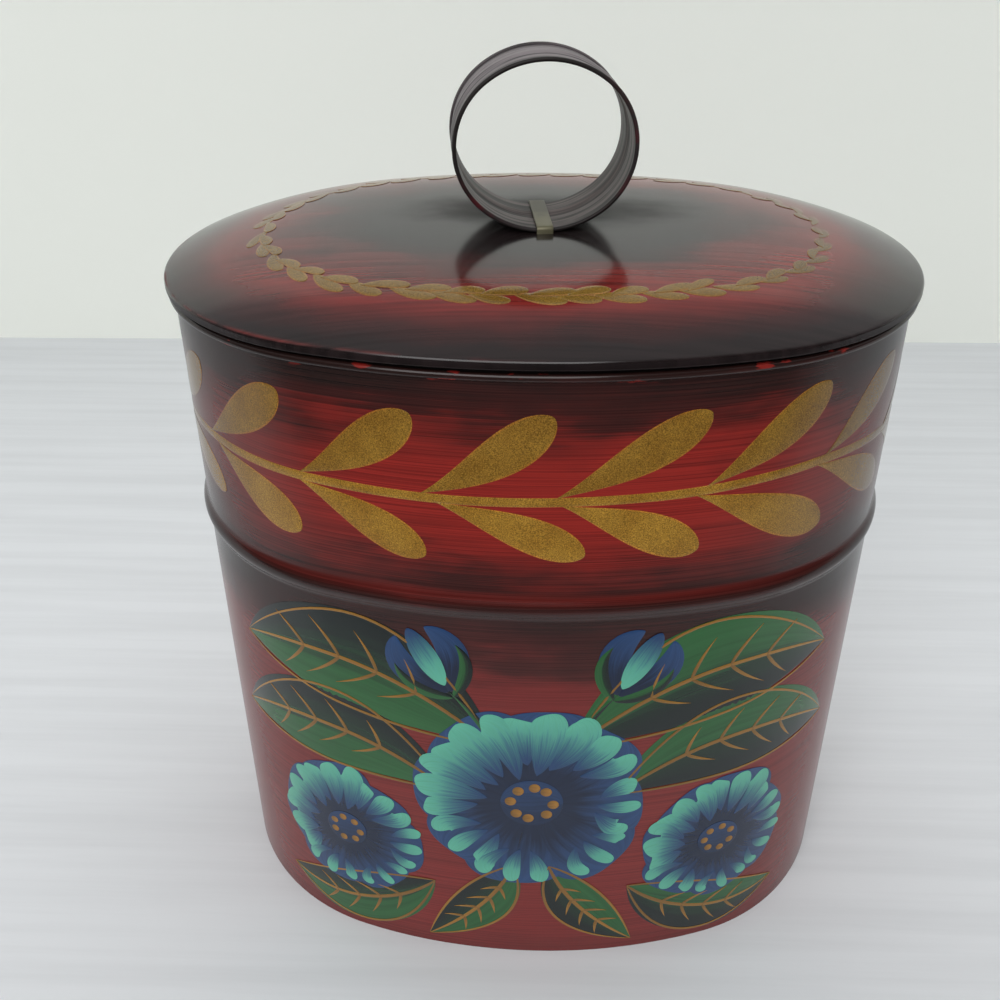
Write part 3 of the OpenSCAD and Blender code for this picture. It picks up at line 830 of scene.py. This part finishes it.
class TINBOX_OT_base(bpy.types.Operator):
    """Builds the base pan and the solder that closes it"""

    bl_idname = "tinbox.base"
    bl_label = "Base and solder"

    def execute(self, context):
        size, paints, _ = chosen(context)
        out = BASE_HIGH.x - size.width / 2
        inner, half = out - size.sheet - size.base_bend, size.sheet / 2
        section = np.concatenate([
            arc((inner, size.sheet + size.base_bend), size.base_bend, -90, 0, 5),
            arc((out - half, size.flange - half), half, 180, 0, 6),
            arc((out - size.base_round, size.base_round), size.base_round, 0, -90, 4),
        ])
        rows = np.concatenate([
            self.disc(size, inner, size.sheet), plan_sweep(size, section),
            self.disc(size, out - size.base_round, 0.0)[::-1],
        ])
        tin = worn_metal("Dull_tinplate_base", paints.tinplate, 0.9, 0.42, 140, 0.6)
        rise = np.linspace(0, 0.1, len(rows))
        pan = skin("base_pan", rows, stations(size), rise, "body", "tinplate", [tin], loop=False)
        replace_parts(pan, "base_plate")
        low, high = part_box("base_solder")
        section = fillet(-size.sheet - size.solder_gap, high.z, low.z, size.base_fillet, low.z)
        lead = worn_metal("Soft_solder", paints.solder, 1.0, 0.38, 260)
        solder = hoop("base_solder_fillet", size, section, 0, "body", "solder", [lead])
        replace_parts(solder, "base_solder")
        return {"FINISHED"}

    def disc(self, size, rim, level):
        """Rings of a flat disc from the middle out: the plan at an offset, shrunk by a few shares."""
        shares = np.array([0.03, 0.3, 0.55, 0.75, 0.9])[:, None]
        x, y = (shares * p for p in plan(size, stations(size), rim))
        return np.stack([x, y, np.full(x.shape, level)], -1)


class TINBOX_OT_lid(bpy.types.Operator):
    """Builds the domed lid with its hemmed edge"""

    bl_idname = "tinbox.lid"
    bl_label = "Lid"

    def execute(self, context):
        size, paints, _ = chosen(context)
        along = stations(size)
        out, base = size.lid_reach - size.width / 2, size.lid_edge
        share = np.linspace(0.01, 1, 48) ** (2 / size.dome_power)
        middle, upright = bend_middle(size), 90 - np.degrees(dome_slope(size, 1.0))
        bend = arc(middle, size.shoulder, upright, 0, 10)[1:]
        hem = arc((out - size.sheet, base + size.sheet), size.sheet, 0, -180, 8)
        fold = [[out - k * size.sheet, base + size.hem] for k in (2, 1)]
        back = arc(middle, size.shoulder - size.sheet, 0, upright, 6)[:-1]
        rim = plan_sweep(size, np.concatenate([bend, hem, fold, back]))
        rim[..., 2] += droop(size, rim[..., 0], 1.0)
        over = dome_rings(size, along, share, 0.0)
        under = dome_rings(size, along, share[::-1], size.sheet)
        rows = np.concatenate([over, rim, under])
        # The share of the way out passes 1 at the bend, and the underside has none of the shading
        shown = len(over) + len(bend) + len(hem)
        share = np.concatenate([
            share, np.linspace(1.01, 1.05, len(bend)), np.linspace(1.06, 1.1, len(hem)),
            np.full(len(rows) - shown, 0.1),
        ])
        bare = worn_metal("Tinplate_under_lid", paints.tinplate, 0.9, 0.45, 120)
        lid = skin(
            "lid", rows, along, share * size.depth / 2, "lid", "lid_paint",
            [japanned_lid(paints, size), bare], loop=False,
            notes={"share": np.append(np.repeat(share, len(along)), [0, 0])},
            parts=np.repeat(np.append(np.arange(len(rows) - 1) >= shown, [False, True]), len(along)),
        )
        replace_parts(lid, "lid_dome")
        return {"FINISHED"}


class TINBOX_OT_collar(bpy.types.Operator):
    """Builds the collar that slides into the mouth, and its solder"""

    bl_idname = "tinbox.collar"
    bl_label = "Collar and solder"

    def execute(self, context):
        size, paints, _ = chosen(context)
        out, half = -size.sheet - size.collar_fit, size.sheet / 2
        upright = np.linspace(size.collar_low + 1 * MM, size.collar_top - 1 * MM, 12)
        section = np.concatenate([
            arc((out - half, size.collar_low + half), half, -180, 0, 8),
            np.stack([np.full(len(upright), out), upright], -1),
            arc((out - half, size.collar_top - half), half, 0, 180, 8),
        ])
        # The upper edge follows the sag of the lid
        sag = (section[:, 1] - size.collar_low) / (size.collar_top - size.collar_low)
        # Black japan, also painted shade: the collar is black so that the gap under the lid's edge reads
        # dark
        black = worn_metal("Black_japan_collar", paints.collar, 0.0, 0.35, 150, coat=0.4)
        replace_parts(hoop("collar", size, section, sag, "lid", "collar_paint", [black]), "lid_collar")
        low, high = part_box("collar_solder")
        face, reach = out - size.sheet - size.solder_gap, size.collar_fillet
        section = fillet(face, low.z, high.z, reach, low.z + reach)
        lead = worn_metal("Soft_solder_collar", paints.solder, 1.0, 0.38, 260)
        solder = hoop("collar_solder_fillet", size, section, 1, "lid", "solder", [lead])
        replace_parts(solder, "collar_solder")
        return {"FINISHED"}


class TINBOX_OT_ring(bpy.types.Operator):
    """Builds the ring handle, a closed band with a swage and rolled edges, and the strap that holds it"""

    bl_idname = "tinbox.ring"
    bl_label = "Ring and strap"

    def execute(self, context):
        size, paints, _ = chosen(context)
        rolled, edge_out = size.band_edge / 2, size.band_edge - size.sheet
        squash = size.ring_width - size.ring_height
        band = oval(size.ring_width / 2 - edge_out, size.ring_height / 2 - edge_out, squash / 4)
        half = oval_half(band)
        # The swage is the ridge (1 - q q) squared, q the distance from the middle over its reach
        at = (size.band - size.band_edge) / 2
        across = np.linspace(-at, at, 61)[1:-1]
        q = np.clip(across / size.swage_half, -1, 1)
        outer = size.swage_out * (1 - q * q) ** 2
        right = arc((at, rolled - size.sheet), rolled, 170, -90, 18)
        left = arc((-at, rolled - size.sheet), rolled, 270, 10, 18)
        section = np.concatenate([
            np.stack([across, outer], -1), right, np.stack([across, outer - size.sheet], -1)[::-1], left,
        ])
        count = [len(across), len(right), len(across), len(left)]
        edge, inside = np.repeat([0, 0.45, 0, 0.9], count), np.repeat([0, 0, 1, 0], count)
        # Lengths from the foot, so that the finish meets itself under the strap
        run = np.linspace(0, 2, 193)[:-1] * half
        along = (run + half) % (2 * half) - half
        middle = size.ring_low + size.ring_height / 2
        x, up = oval_point(band, along[None], section[:, 1:])
        rows = turned(size, x, section[:, :1] + 0 * along, middle + up)
        # Worn to the red ground low on the left and half way up the right of the front edge
        turn_at = along / half
        worn = np.exp(-((turn_at + 0.27) / 0.09) ** 2) + np.exp(-((turn_at - 0.5) / 0.17) ** 2)
        worn = (edge * (section[:, 0] < 0))[:, None] * worn
        ring = skin(
            "ring", rows, run, section[:, 0], "lid", "ring_lacquer", [ring_finish(paints)],
            notes={"edge": np.repeat(edge, len(run)), "inside": np.repeat(inside, len(run)), "worn": worn},
        )
        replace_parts(ring, "ring_band")
        foot = oval_point(band, np.linspace(0, 0.2, 200) * half, -size.sheet)
        self.strap(size, paints, middle + np.interp(size.strap / 2, *foot) + size.strap_lift)
        return {"FINISHED"}

    def strap(self, size, paints, over):
        """The strap: a rounded strip carried along a path over the ring's foot and under the crown.
        Each half of the path is a flat bar, a quarter turn, a leg, a quarter turn and a tab."""
        half, bend = size.strap_sheet / 2, size.strap_bend
        leg, r = size.band / 2 + size.strap_gap - bend, bend + half
        low = STRAP_LOW.z + half
        bar = np.linspace(0, leg, 8)[:-1]
        one = np.concatenate([
            np.stack([bar, np.full(len(bar), over + half)], -1),
            arc((leg, over - bend), r, 90, 0, 8), arc((leg, low + r), r, 0, -90, 8),
            [[leg - 0.5 * size.strap_tab, low], [leg - size.strap_tab, low]],
        ])
        path = np.concatenate([(one * [-1, 1])[:0:-1], one])
        way = np.gradient(path, axis=0)
        out = aside(way / np.linalg.norm(way, axis=1, keepdims=True))
        side = size.strap / 2 - size.strap_round
        corner = np.concatenate([
            arc((side, 0), size.strap_round, -90, 90, 6), arc((-side, 0), size.strap_round, 90, 270, 6),
        ]) * [1, half / size.strap_round]
        x = np.broadcast_to(corner[:, 0], (len(path), len(corner)))
        y, up = (path[:, k, None] + out[:, k, None] * corner[:, 1] for k in (0, 1))
        run = np.append(0, np.cumsum(np.linalg.norm(np.diff(path, axis=0), axis=1)))
        rows, metal = turned(size, x, y, up), strap_finish(paints)
        strap = skin("strap", rows, corner[:, 0], run, "lid", "strap_metal", [metal], loop=False)
        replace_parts(strap, "ring_strap")
        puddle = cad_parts["strap_solder"]
        puddle.data.materials.clear()
        puddle.data.materials.append(worn_metal("Soft_solder_puddle", paints.solder, 1.0, 0.36, 260))


class TINBOX_OT_border(bpy.types.Operator):
    """Paints the gold leaf border round the upper wall"""

    bl_idname = "tinbox.border"
    bl_label = "Gold leaf border"

    # Hand-drawn sway of the stem: lengths along the front and heights past the middle line, in millimetres
    sway = (
        (-95, 0), (-71, 0.8), (-45, 0.2), (-21, -0.6), (3, -0.4),
        (30, 0.4), (49, 2.3), (61, 2.4), (76, 0.6), (95, 0),
    )
    # Upper and lower leaves: name, side, first leaf of the front past the middle, usual run and rise, share
    # of the gold's brightness, and the front's five leaves as foot past its even place, run and rise, in
    # millimetres
    leaf_rows = (
        ("upper", 1, 0, 24.0, 16.0, 0.85,
         ((0.2, 23, 15.5), (-0.6, 24.5, 16.6), (-0.5, 27.4, 16.2), (2.4, 23.5, 17.4), (2.5, 20.5, 15))),
        ("lower", -1, -1, 26.0, 12.5, 1.08,
         ((1.6, 22.5, 12.5), (-0.2, 25.1, 13), (2.1, 27.9, 11), (0.4, 26.4, 11.2), (0.4, 28.5, 12))),
    )

    def execute(self, context):
        size, paints, art = chosen(context)
        draw = np.random.default_rng(7)
        half, count = half_round(size), art.pairs
        for name, side, first, run, rise, bright, front in self.leaf_rows:
            tone = mix(grey(0), paints.gold, bright)
            gold = bronze_powder_gold("Bronze_powder_gold_" + name, tone, 0.025, size.lid_reach)
            usual = ((0, 0.8), (run, 0.9), (rise, 0.7))
            form = np.stack([draw.normal(value, spread, count) for value, spread in usual], -1)
            start = count // 2 - 2 + first
            form[start:start + len(front)] = front
            along = (np.arange(count) - count // 2) * 2 * half / count + (3.5 + form[:, 0]) * MM
            along = (along + half) % (2 * half) - half
            foot = np.stack([along, self.stem(art, along) + side * 0.5 * MM], -1)
            step = form[:, 1:] * [MM, side * MM]
            hang = aside(step) * -side * draw.normal(0.06, 0.02, count)[:, None]
            wide = art.leaf_half * draw.normal(1, 0.05, count)
            curve = (foot, foot + step / 2 + hang, foot + step)
            paint("border_leaves_" + name, "wall", gold, curve, wide, (1.4, 0.6), (36, 20), 0.5)
        # The stem is an ellipse carried round, in the gold of the lower leaves
        along = stations(size, 384)
        section = arc((0, 0), 1, 0, 360, 12)[:-1]
        up = self.stem(art, along) + art.stem_half * section[:, :1]
        rows = on_wall(size, along[None], up, 1.3 * art.film * section[:, 1:] + 0 * along)
        across = section[:, 0] / 2 + 0.5
        skin("border_stem", rows, along, across, "body", "wall_paint", [gold], crease=80)
        return {"FINISHED"}

    def stem(self, art, along):
        """Height of the stem: the hand-drawn sway, as the mean of five places 4 mm apart."""
        drawn = [np.interp(along / MM + k, *np.transpose(self.sway)) for k in (-8, -4, 0, 4, 8)]
        return art.stem_up + MM * np.mean(drawn, axis=0)


class TINBOX_OT_wreath(bpy.types.Operator):
    """Paints the wreath of small gold strokes round the lid"""

    bl_idname = "tinbox.wreath"
    bl_label = "Gold lid wreath"

    def execute(self, context):
        size, paints, art = chosen(context)
        gold = bronze_powder_gold("Bronze_powder_gold_wreath", paints.old_gold, 0.07, size.lid_reach)
        draw = np.random.default_rng(11)
        count = art.wreath_pairs
        along = ((np.arange(count) + 0.5) / count * 2 - 1) * half_round(size)
        at = self.path(size, art, along)
        ahead = self.path(size, art, along + 1 * MM) - at
        ahead /= np.linalg.norm(ahead, axis=1, keepdims=True)
        outward = -aside(ahead)
        # The strokes shrink towards the ends, to the right more than to the left
        far = at[:, :1] / (art.wreath_share * size.width / 2)
        small = 1 - 0.24 * far ** 2 - 0.08 * far

        def jitter(spread):
            """One draw for each pair, about 0."""
            return draw.normal(0, spread, count)[:, None]

        # Name, side, shift of the foot, run, lean and half width in millimetres, and height in films
        for name, side, shift, run, lean, wide, lift in (
            ("wreath_strokes_outer", 1, -1.6, 9.6, 2.6, 1.6, 0.5),
            ("wreath_strokes_inner", -1, 1.4, 7.6, 2.1, 1.5, 1.5),
        ):
            out = outward * side
            start = at + (ahead * (shift + jitter(0.6)) - out * 0.5) * MM
            tip = start + small * (ahead * (run + jitter(0.8)) + out * (lean + jitter(0.4))) * MM
            bend = (start + tip) / 2 + out * (1.1 + jitter(0.3)) * MM
            half = wide * small * MM * (1 + jitter(0.08))
            paint(name, "lid", gold, (start, bend, tip), half, (0.75, 0.5), (20, 14), lift)
        return {"FINISHED"}

    def path(self, size, art, along):
        """Middle line of the wreath: the plan shrunk to the wreath's share, which grows with the square of
        the way out along X."""
        x, y = plan(size, along)
        share = art.wreath_share + art.wreath_swing * (2 * x / size.width) ** 2
        return np.stack([share * x, share * y], -1)


class TINBOX_OT_flowers(bpy.types.Operator):
    """Paints a plain symmetrical spray of blue flowers and green leaves on the lower front"""

    bl_idname = "tinbox.flowers"
    bl_label = "Flower spray"

    def execute(self, context):
        _, paints, _ = chosen(context)
        navy, blue, light = paints.navy, paints.blue, paints.turquoise
        green, shade, ochre = paints.green, paints.shade, paints.ochre
        petal = [(0.25, navy), (0.6, mix(navy, blue, 0.7)), (1.0, blue)]
        comma = [
            (0.1, light), (0.4, mix(blue, light, 0.8)),
            (0.62, mix(blue, light, 0.3)), (0.9, mix(navy, blue, 0.8)),
        ]
        heart = [(0.2, mix(navy, blue, 0.15)), (0.8, mix(navy, blue, 0.6))]
        leafy = [(0.2, shade), (0.44, mix(shade, green, 0.2)), (0.6, mix(shade, green, 0.9)), (0.95, green)]
        vein = [(0.1, mix(ochre, shade, 0.45)), (0.8, ochre)]
        oils = SimpleNamespace(
            petal=stroke_paint("Blue_oil_paint_petals", petal, 0.3),
            comma=stroke_paint("Turquoise_oil_paint_commas", comma, 0.45),
            heart=stroke_paint("Navy_oil_paint_hearts", heart, 0.4, along=False),
            leafy=stroke_paint("Green_oil_paint_leaves", leafy, 0.22, along=False),
            vein=stroke_paint("Ochre_oil_paint_veins", vein, 0.5),
        )
        self.leaves(oils)
        # Flower middle and reach in millimetres, number of petals and turn of the first petal
        self.bloom("bloom_1", oils, (0, 50), 25, 8, 90)
        self.bloom("bloom_2", oils, (43, 33), 18.5, 7, 78)
        self.bloom("bloom_3", oils, (-43, 33), 18.5, 7, 102)
        # Bud foot and tip in millimetres
        self.bud("bud_right", oils, (17, 80), (25, 95))
        self.bud("bud_left", oils, (-17, 80), (-25, 95))
        return {"FINISHED"}

    def bud(self, name, oils, foot, tip):
        """One bud: a middle petal between two side petals, on a stem with two sepals."""
        foot, tip = np.array([foot]) * MM, np.array([tip]) * MM
        way = tip - foot
        both = np.concatenate([aside(way), -aside(way)])
        curve = (np.repeat(foot, 2, 0), foot + 0.5 * way + 0.55 * both, foot + 0.95 * way + 0.2 * both)
        paint(name + "_sides", "wall", oils.petal, curve, [3.2 * MM] * 2, (0.6, 0.7), (18, 14), 2)
        root = foot * [0.45, 0.82]
        curve = (
            np.concatenate([root, np.repeat(foot - 0.1 * way, 2, 0)]),
            np.concatenate([(root + foot) / 2 * [0.9, 1.02], foot + 0.2 * way + 0.5 * both]),
            np.concatenate([foot, foot + 0.6 * way + 0.42 * both]),
        )
        wide = np.array([0.8, 1.5, 1.5]) * MM
        paint(name + "_stem", "wall", oils.leafy, curve, wide, (0.6, 0.9), (18, 12), 2.5)
        curve = (foot + 0.1 * way, foot + 0.5 * way, tip)
        paint(name + "_middle", "wall", oils.comma, curve, [2.6 * MM], (0.7, 0.6), (18, 14), 3)

    def bloom(self, name, oils, middle, reach, count, first):
        """One flower: broad petals round the middle, three light comma strokes on the end of each, a dark
        heart and a ring of dots. The commas are broadest towards the upper left, where the light falls."""
        middle, reach = np.array([middle]) * MM, reach * MM
        draw = np.random.default_rng(count)

        def vary(spread):
            """One draw for each petal, about 1."""
            return draw.normal(1, spread, count)

        way = radians(first) + 2 * pi * np.arange(count) / count + 0.07 * draw.normal(0, 1, count)
        ray = np.stack([np.cos(way), np.sin(way)], -1)
        wide = 1.2 * reach * sin(pi / count)
        far, side = (reach * vary(0.05))[:, None] * ray, -aside(ray) * wide
        curve = (middle + 0.2 * far, middle + 0.6 * far + 0.1 * side, middle + far)
        paint(name + "_petals", "wall", oils.petal, curve, wide * vary(0.06), (0.6, 0.38), (40, 30), 2)
        lit = 0.5 + 0.5 * (ray @ np.array([-0.6, 0.8]))
        for k, (label, off) in enumerate((("left", -1), ("right", 1), ("middle", 0))):
            top, low = 0.98 - 0.09 * abs(off) * vary(0.3), 0.62 - 0.24 * lit * vary(0.2)
            curve = (
                middle + top[:, None] * far + 0.5 * off * side,
                middle + 0.8 * far + (0.68 * off + 0.15) * side,
                middle + low[:, None] * far + 0.2 * off * side,
            )
            half = (0.07 + 0.09 * lit) * vary(0.15) * reach
            label = f"{name}_commas_{label}"
            paint(label, "wall", oils.comma, curve, half, (0.4, 0.75), (24, 16), 3 + 0.3 * k)
        r = 0.27 * reach
        curve = [middle + [[k * r, 0]] for k in (-1, 0, 1)]
        paint(name + "_heart", "wall", oils.heart, curve, [r], (0.5, 0.5), (24, 20), 4)
        dot = 0.05 * reach
        curve = [middle + 0.68 * r * ray + [[k * dot, 0]] for k in (-1, 0, 1)]
        paint(name + "_dots", "wall", oils.vein, curve, np.full(count, dot), (0.5, 0.5), (8, 8), 5)

    def leaves(self, oils):
        """Pointed leaves to the right and left of the front, with thin outlines, midribs and side veins."""
        # Leaf foot, bend and tip on the right half of the front, then half width, in millimetres
        right = np.array([
            [[8, 66], [36, 94], [67, 80]], [[18, 52], [44, 74], [72, 57]],
            [[22, 22], [36, 6], [62, 10]], [[4, 30], [8, 16], [24, 3]],
        ]) * MM
        wide = np.array([13.0, 11.0, 8.5, 6.5]) * MM
        start, bend, tip = np.moveaxis(right, 1, 0)

        def both(*curve):
            """A curve's points on the right half and their mirror images on the left."""
            flat = [points.reshape(-1, 2) for points in curve]
            return [np.concatenate([points, points * [-1, 1]]) for points in flat]

        curve = both(start, bend, tip)
        paint("spray_leaves", "wall", oils.leafy, curve, np.tile(wide, 2), (1, 1), (60, 40), 1)
        way = tip - start
        swell = 1.94 * wide[:, None] * aside(way) / np.linalg.norm(way, axis=1, keepdims=True)
        # Name, side of the leaf and half width in millimetres
        lines = (("edges_upper", 1, 0.34), ("edges_lower", -1, 0.34), ("midribs", 0, 0.5))
        for name, side, thick in lines:
            curve = both(start, bend + side * swell, tip)
            half = np.full(len(curve[0]), thick * MM)
            paint("spray_" + name, "wall", oils.vein, curve, half, (0.3, 0.5), (40, 8), 2.5)
        # Four pairs of side veins from places along each midrib, longest in the middle
        t = np.array([0.28, 0.42, 0.56, 0.7])[None, :, None]
        a, b, c = (p[:, None] for p in (start, bend, tip))
        foot = (1 - t) ** 2 * a + 2 * t * (1 - t) * b + t ** 2 * c
        ahead = (1 - t) * (b - a) + t * (c - b)
        ahead /= np.linalg.norm(ahead, axis=-1, keepdims=True)
        reach = wide[:, None, None] * 2.5 * t * (1 - t)
        for name, side in (("spray_veins_upper", 1), ("spray_veins_lower", -1)):
            out = side * aside(ahead)
            middle = foot + (0.3 * ahead + 0.5 * out) * reach
            curve = both(foot, middle, foot + (0.95 * ahead + out) * reach)
            half = np.full(len(curve[0]), 0.4 * MM)
            paint(name, "wall", oils.vein, curve, half, (0.3, 0.9), (14, 8), 2.5)


class TINBOX_OT_stage(bpy.types.Operator):
    """Sets the floor, the backdrop, the lamps and the camera"""

    bl_idname = "tinbox.stage"
    bl_label = "Stage, lamps and camera"

    # Half the floor's side, and the backdrop's distance at its left and right and its height, in metres
    floor_half = 3.0
    back_left, back_right, back_top = 0.275, 0.345, 0.45
    # Lamps: name, place, aim and side in metres, and power in watts
    lamps = (
        ("key", (-0.3, -1.45, 1.3), (0, 0.1, 0.1), 1.4, 20.0),
        ("top", (0, 0.1, 1.7), (0, 0.1, 0), 1.8, 12.6),
    )
    # The camera's place in metres, and its turn, downward tilt and roll in degrees
    camera_place = (0.00033, -0.21867, 0.2277)
    camera_turn, camera_tilt, camera_roll = 2.34, 31.65, -0.36
    # Focal length and film width in millimetres
    focal_length, film_width = 39.17, 36.0

    def execute(self, context):
        scene = context.scene
        _, paints, _ = chosen(context)
        a, left, right, top = self.floor_half, self.back_left, self.back_right, self.back_top
        self.sheet("floor", [[-a, -a, 0], [a, -a, 0], [a, a, 0], [-a, a, 0]], self.floor(paints.floor))
        corners = [[-a, left, 0], [a, right, 0], [a, right, top], [-a, left, top]]
        self.sheet("backdrop", corners, self.wall(paints.backdrop))
        scene.world = self.room()
        for name, place, aim, side, power in self.lamps:
            lamp = bpy.data.lights.new(name, "AREA")
            lamp.size, lamp.energy = side, power
            made = bpy.data.objects.new(name, lamp)
            way = (Vector(place) - Vector(aim)).to_track_quat("Z", "Y")
            made.matrix_world = Matrix.Translation(place) @ way.to_matrix().to_4x4()
            scene.collection.objects.link(made)
            # Only the key shows in the varnish
            made.visible_glossy = name == "key"
        lens = bpy.data.cameras.new("photo_camera")
        lens.lens, lens.sensor_width = self.focal_length, self.film_width
        lens.clip_start, lens.clip_end = 0.01, 20
        camera = bpy.data.objects.new("photo_camera", lens)
        camera.matrix_world = Matrix.Translation(self.camera_place)
        turns = ((self.camera_turn, "Z"), (90 - self.camera_tilt, "X"), (self.camera_roll, "Z"))
        for degrees, axis in turns:
            camera.matrix_world = camera.matrix_world @ Matrix.Rotation(radians(degrees), 4, axis)
        scene.collection.objects.link(camera)
        scene.camera = camera
        scene.view_settings.view_transform = "Standard"
        return {"FINISHED"}

    def room(self):
        """A soft room: dim below and ahead, lighter overhead and behind, and pale where the camera looks
        past the stage."""
        world = bpy.data.worlds.new("Soft_room")
        world.use_nodes = True
        tree = world.node_tree
        tree.nodes.clear()
        way = add(tree, "TexCoord")
        lean = add(tree, "VectorMath", {0: way, 1: (0, 0.64, 0.77)}, out="Value", operation="DOT_PRODUCT")
        lean = add(tree, "MapRange", {0: lean, 1: -1.0, 2: 1.0})
        stops = greys((0.42, 0.04), (0.56, 0.12), (0.75, 0.4), (0.9, 0.5))
        glow = add(tree, "ValToRGB", {0: lean}, stops=stops)
        seen = add(tree, "LightPath", out="Is Camera Ray")
        glow = add(tree, "Mix", {0: seen, 6: glow, 7: grey(0.7)})
        add(tree, "OutputWorld", {"Surface": add(tree, "Background", {"Color": glow})})
        return world

    def floor(self, tone):
        """Pale matt floor. The varnish sees it in shade where the person with the camera stands."""

        def build(tree):
            place = add(tree, "TexCoord", out="Object")
            # Faint level lines, 8 mm apart and a hand long
            matt = veiled(tree, tone, streaked(tree, place, (5, 120, 0)), 0.35, 0.6, grey(0.93))
            y = add(tree, "SeparateXYZ", {0: place}, out=1)
            shade = add(tree, "MapRange", {0: y, 1: -0.1, 2: -0.22, 3: 0.0, 4: 0.9})
            glossy = add(tree, "LightPath", out="Is Glossy Ray")
            shade = add(tree, "Math", {0: shade, 1: glossy}, operation="MULTIPLY")
            tint = add(tree, "Mix", {0: shade, 6: matt, 7: grey(0.02)})
            return add(tree, "BsdfPrincipled", {"Base Color": tint, "Roughness": 0.8})

        return build

    def wall(self, tone):
        """Pale matt backdrop, lifted a little to the eye and in the varnish, and clear from behind."""

        def build(tree):
            ray = add(tree, "LightPath").node.outputs
            eye, gloss, glass = (ray[f"Is {kind} Ray"] for kind in ("Camera", "Glossy", "Transmission"))
            seen = add(tree, "Math", {0: eye, 1: gloss}, operation="ADD")
            seen = add(tree, "Math", {0: seen, 1: glass}, operation="ADD", use_clamp=True)
            lift = add(tree, "Math", {0: seen, 1: 0.08}, operation="MULTIPLY")
            paper = add(tree, "BsdfPrincipled", {
                "Base Color": tone, "Roughness": 0.8, "Emission Color": tone, "Emission Strength": lift,
            })
            behind = add(tree, "NewGeometry", out="Backfacing")
            return add(tree, "MixShader", {0: behind, 1: paper, 2: add(tree, "BsdfTransparent")})

        return build

    def sheet(self, name, corners, build):
        """A flat sheet of the stage."""
        mesh = bpy.data.meshes.new(name)
        mesh.from_pydata(corners, [], [(0, 1, 2, 3)])
        mesh.materials.append(finish("Matt_" + name, build))
        made = bpy.data.objects.new(name, mesh)
        bpy.context.scene.collection.objects.link(made)


class TINBOX_PT_panel(bpy.types.Panel):
    """Lists the tin box's operators, sizes and colours"""

    bl_idname = "TINBOX_PT_panel"
    bl_label = "Tin Box"
    bl_space_type = "VIEW_3D"
    bl_region_type = "UI"
    bl_category = "Tin Box"

    def draw(self, context):
        for operator in OPERATORS:
            self.layout.operator(operator.bl_idname)
        for name, group in GROUPS.items():
            column = self.layout.column()
            for key in group.__annotations__:
                column.prop(getattr(context.scene, name), key)


GROUPS = {"tin_sizes": TinBoxSizes, "tin_colours": TinBoxColours, "tin_painting": TinBoxPainting}
OPERATORS = (
    TINBOX_OT_stage, TINBOX_OT_wall, TINBOX_OT_base, TINBOX_OT_lid, TINBOX_OT_collar, TINBOX_OT_ring,
    TINBOX_OT_border, TINBOX_OT_wreath, TINBOX_OT_flowers,
)


def register():
    """Registers the classes and gives the scene its groups of values."""
    for made in (*GROUPS.values(), *OPERATORS, TINBOX_PT_panel):
        bpy.utils.register_class(made)
    for name, group in GROUPS.items():
        setattr(bpy.types.Scene, name, PointerProperty(type=group))


def unregister():
    """Takes the groups and the classes away again, in reverse order."""
    for name in GROUPS:
        delattr(bpy.types.Scene, name)
    for made in (TINBOX_PT_panel, *reversed(OPERATORS), *reversed(GROUPS.values())):
        bpy.utils.unregister_class(made)


def main():
    """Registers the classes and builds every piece."""
    register()
    for operator in OPERATORS:
        group, call = operator.bl_idname.split(".")
        getattr(getattr(bpy.ops, group), call)()


if __name__ == "__main__":
    main()
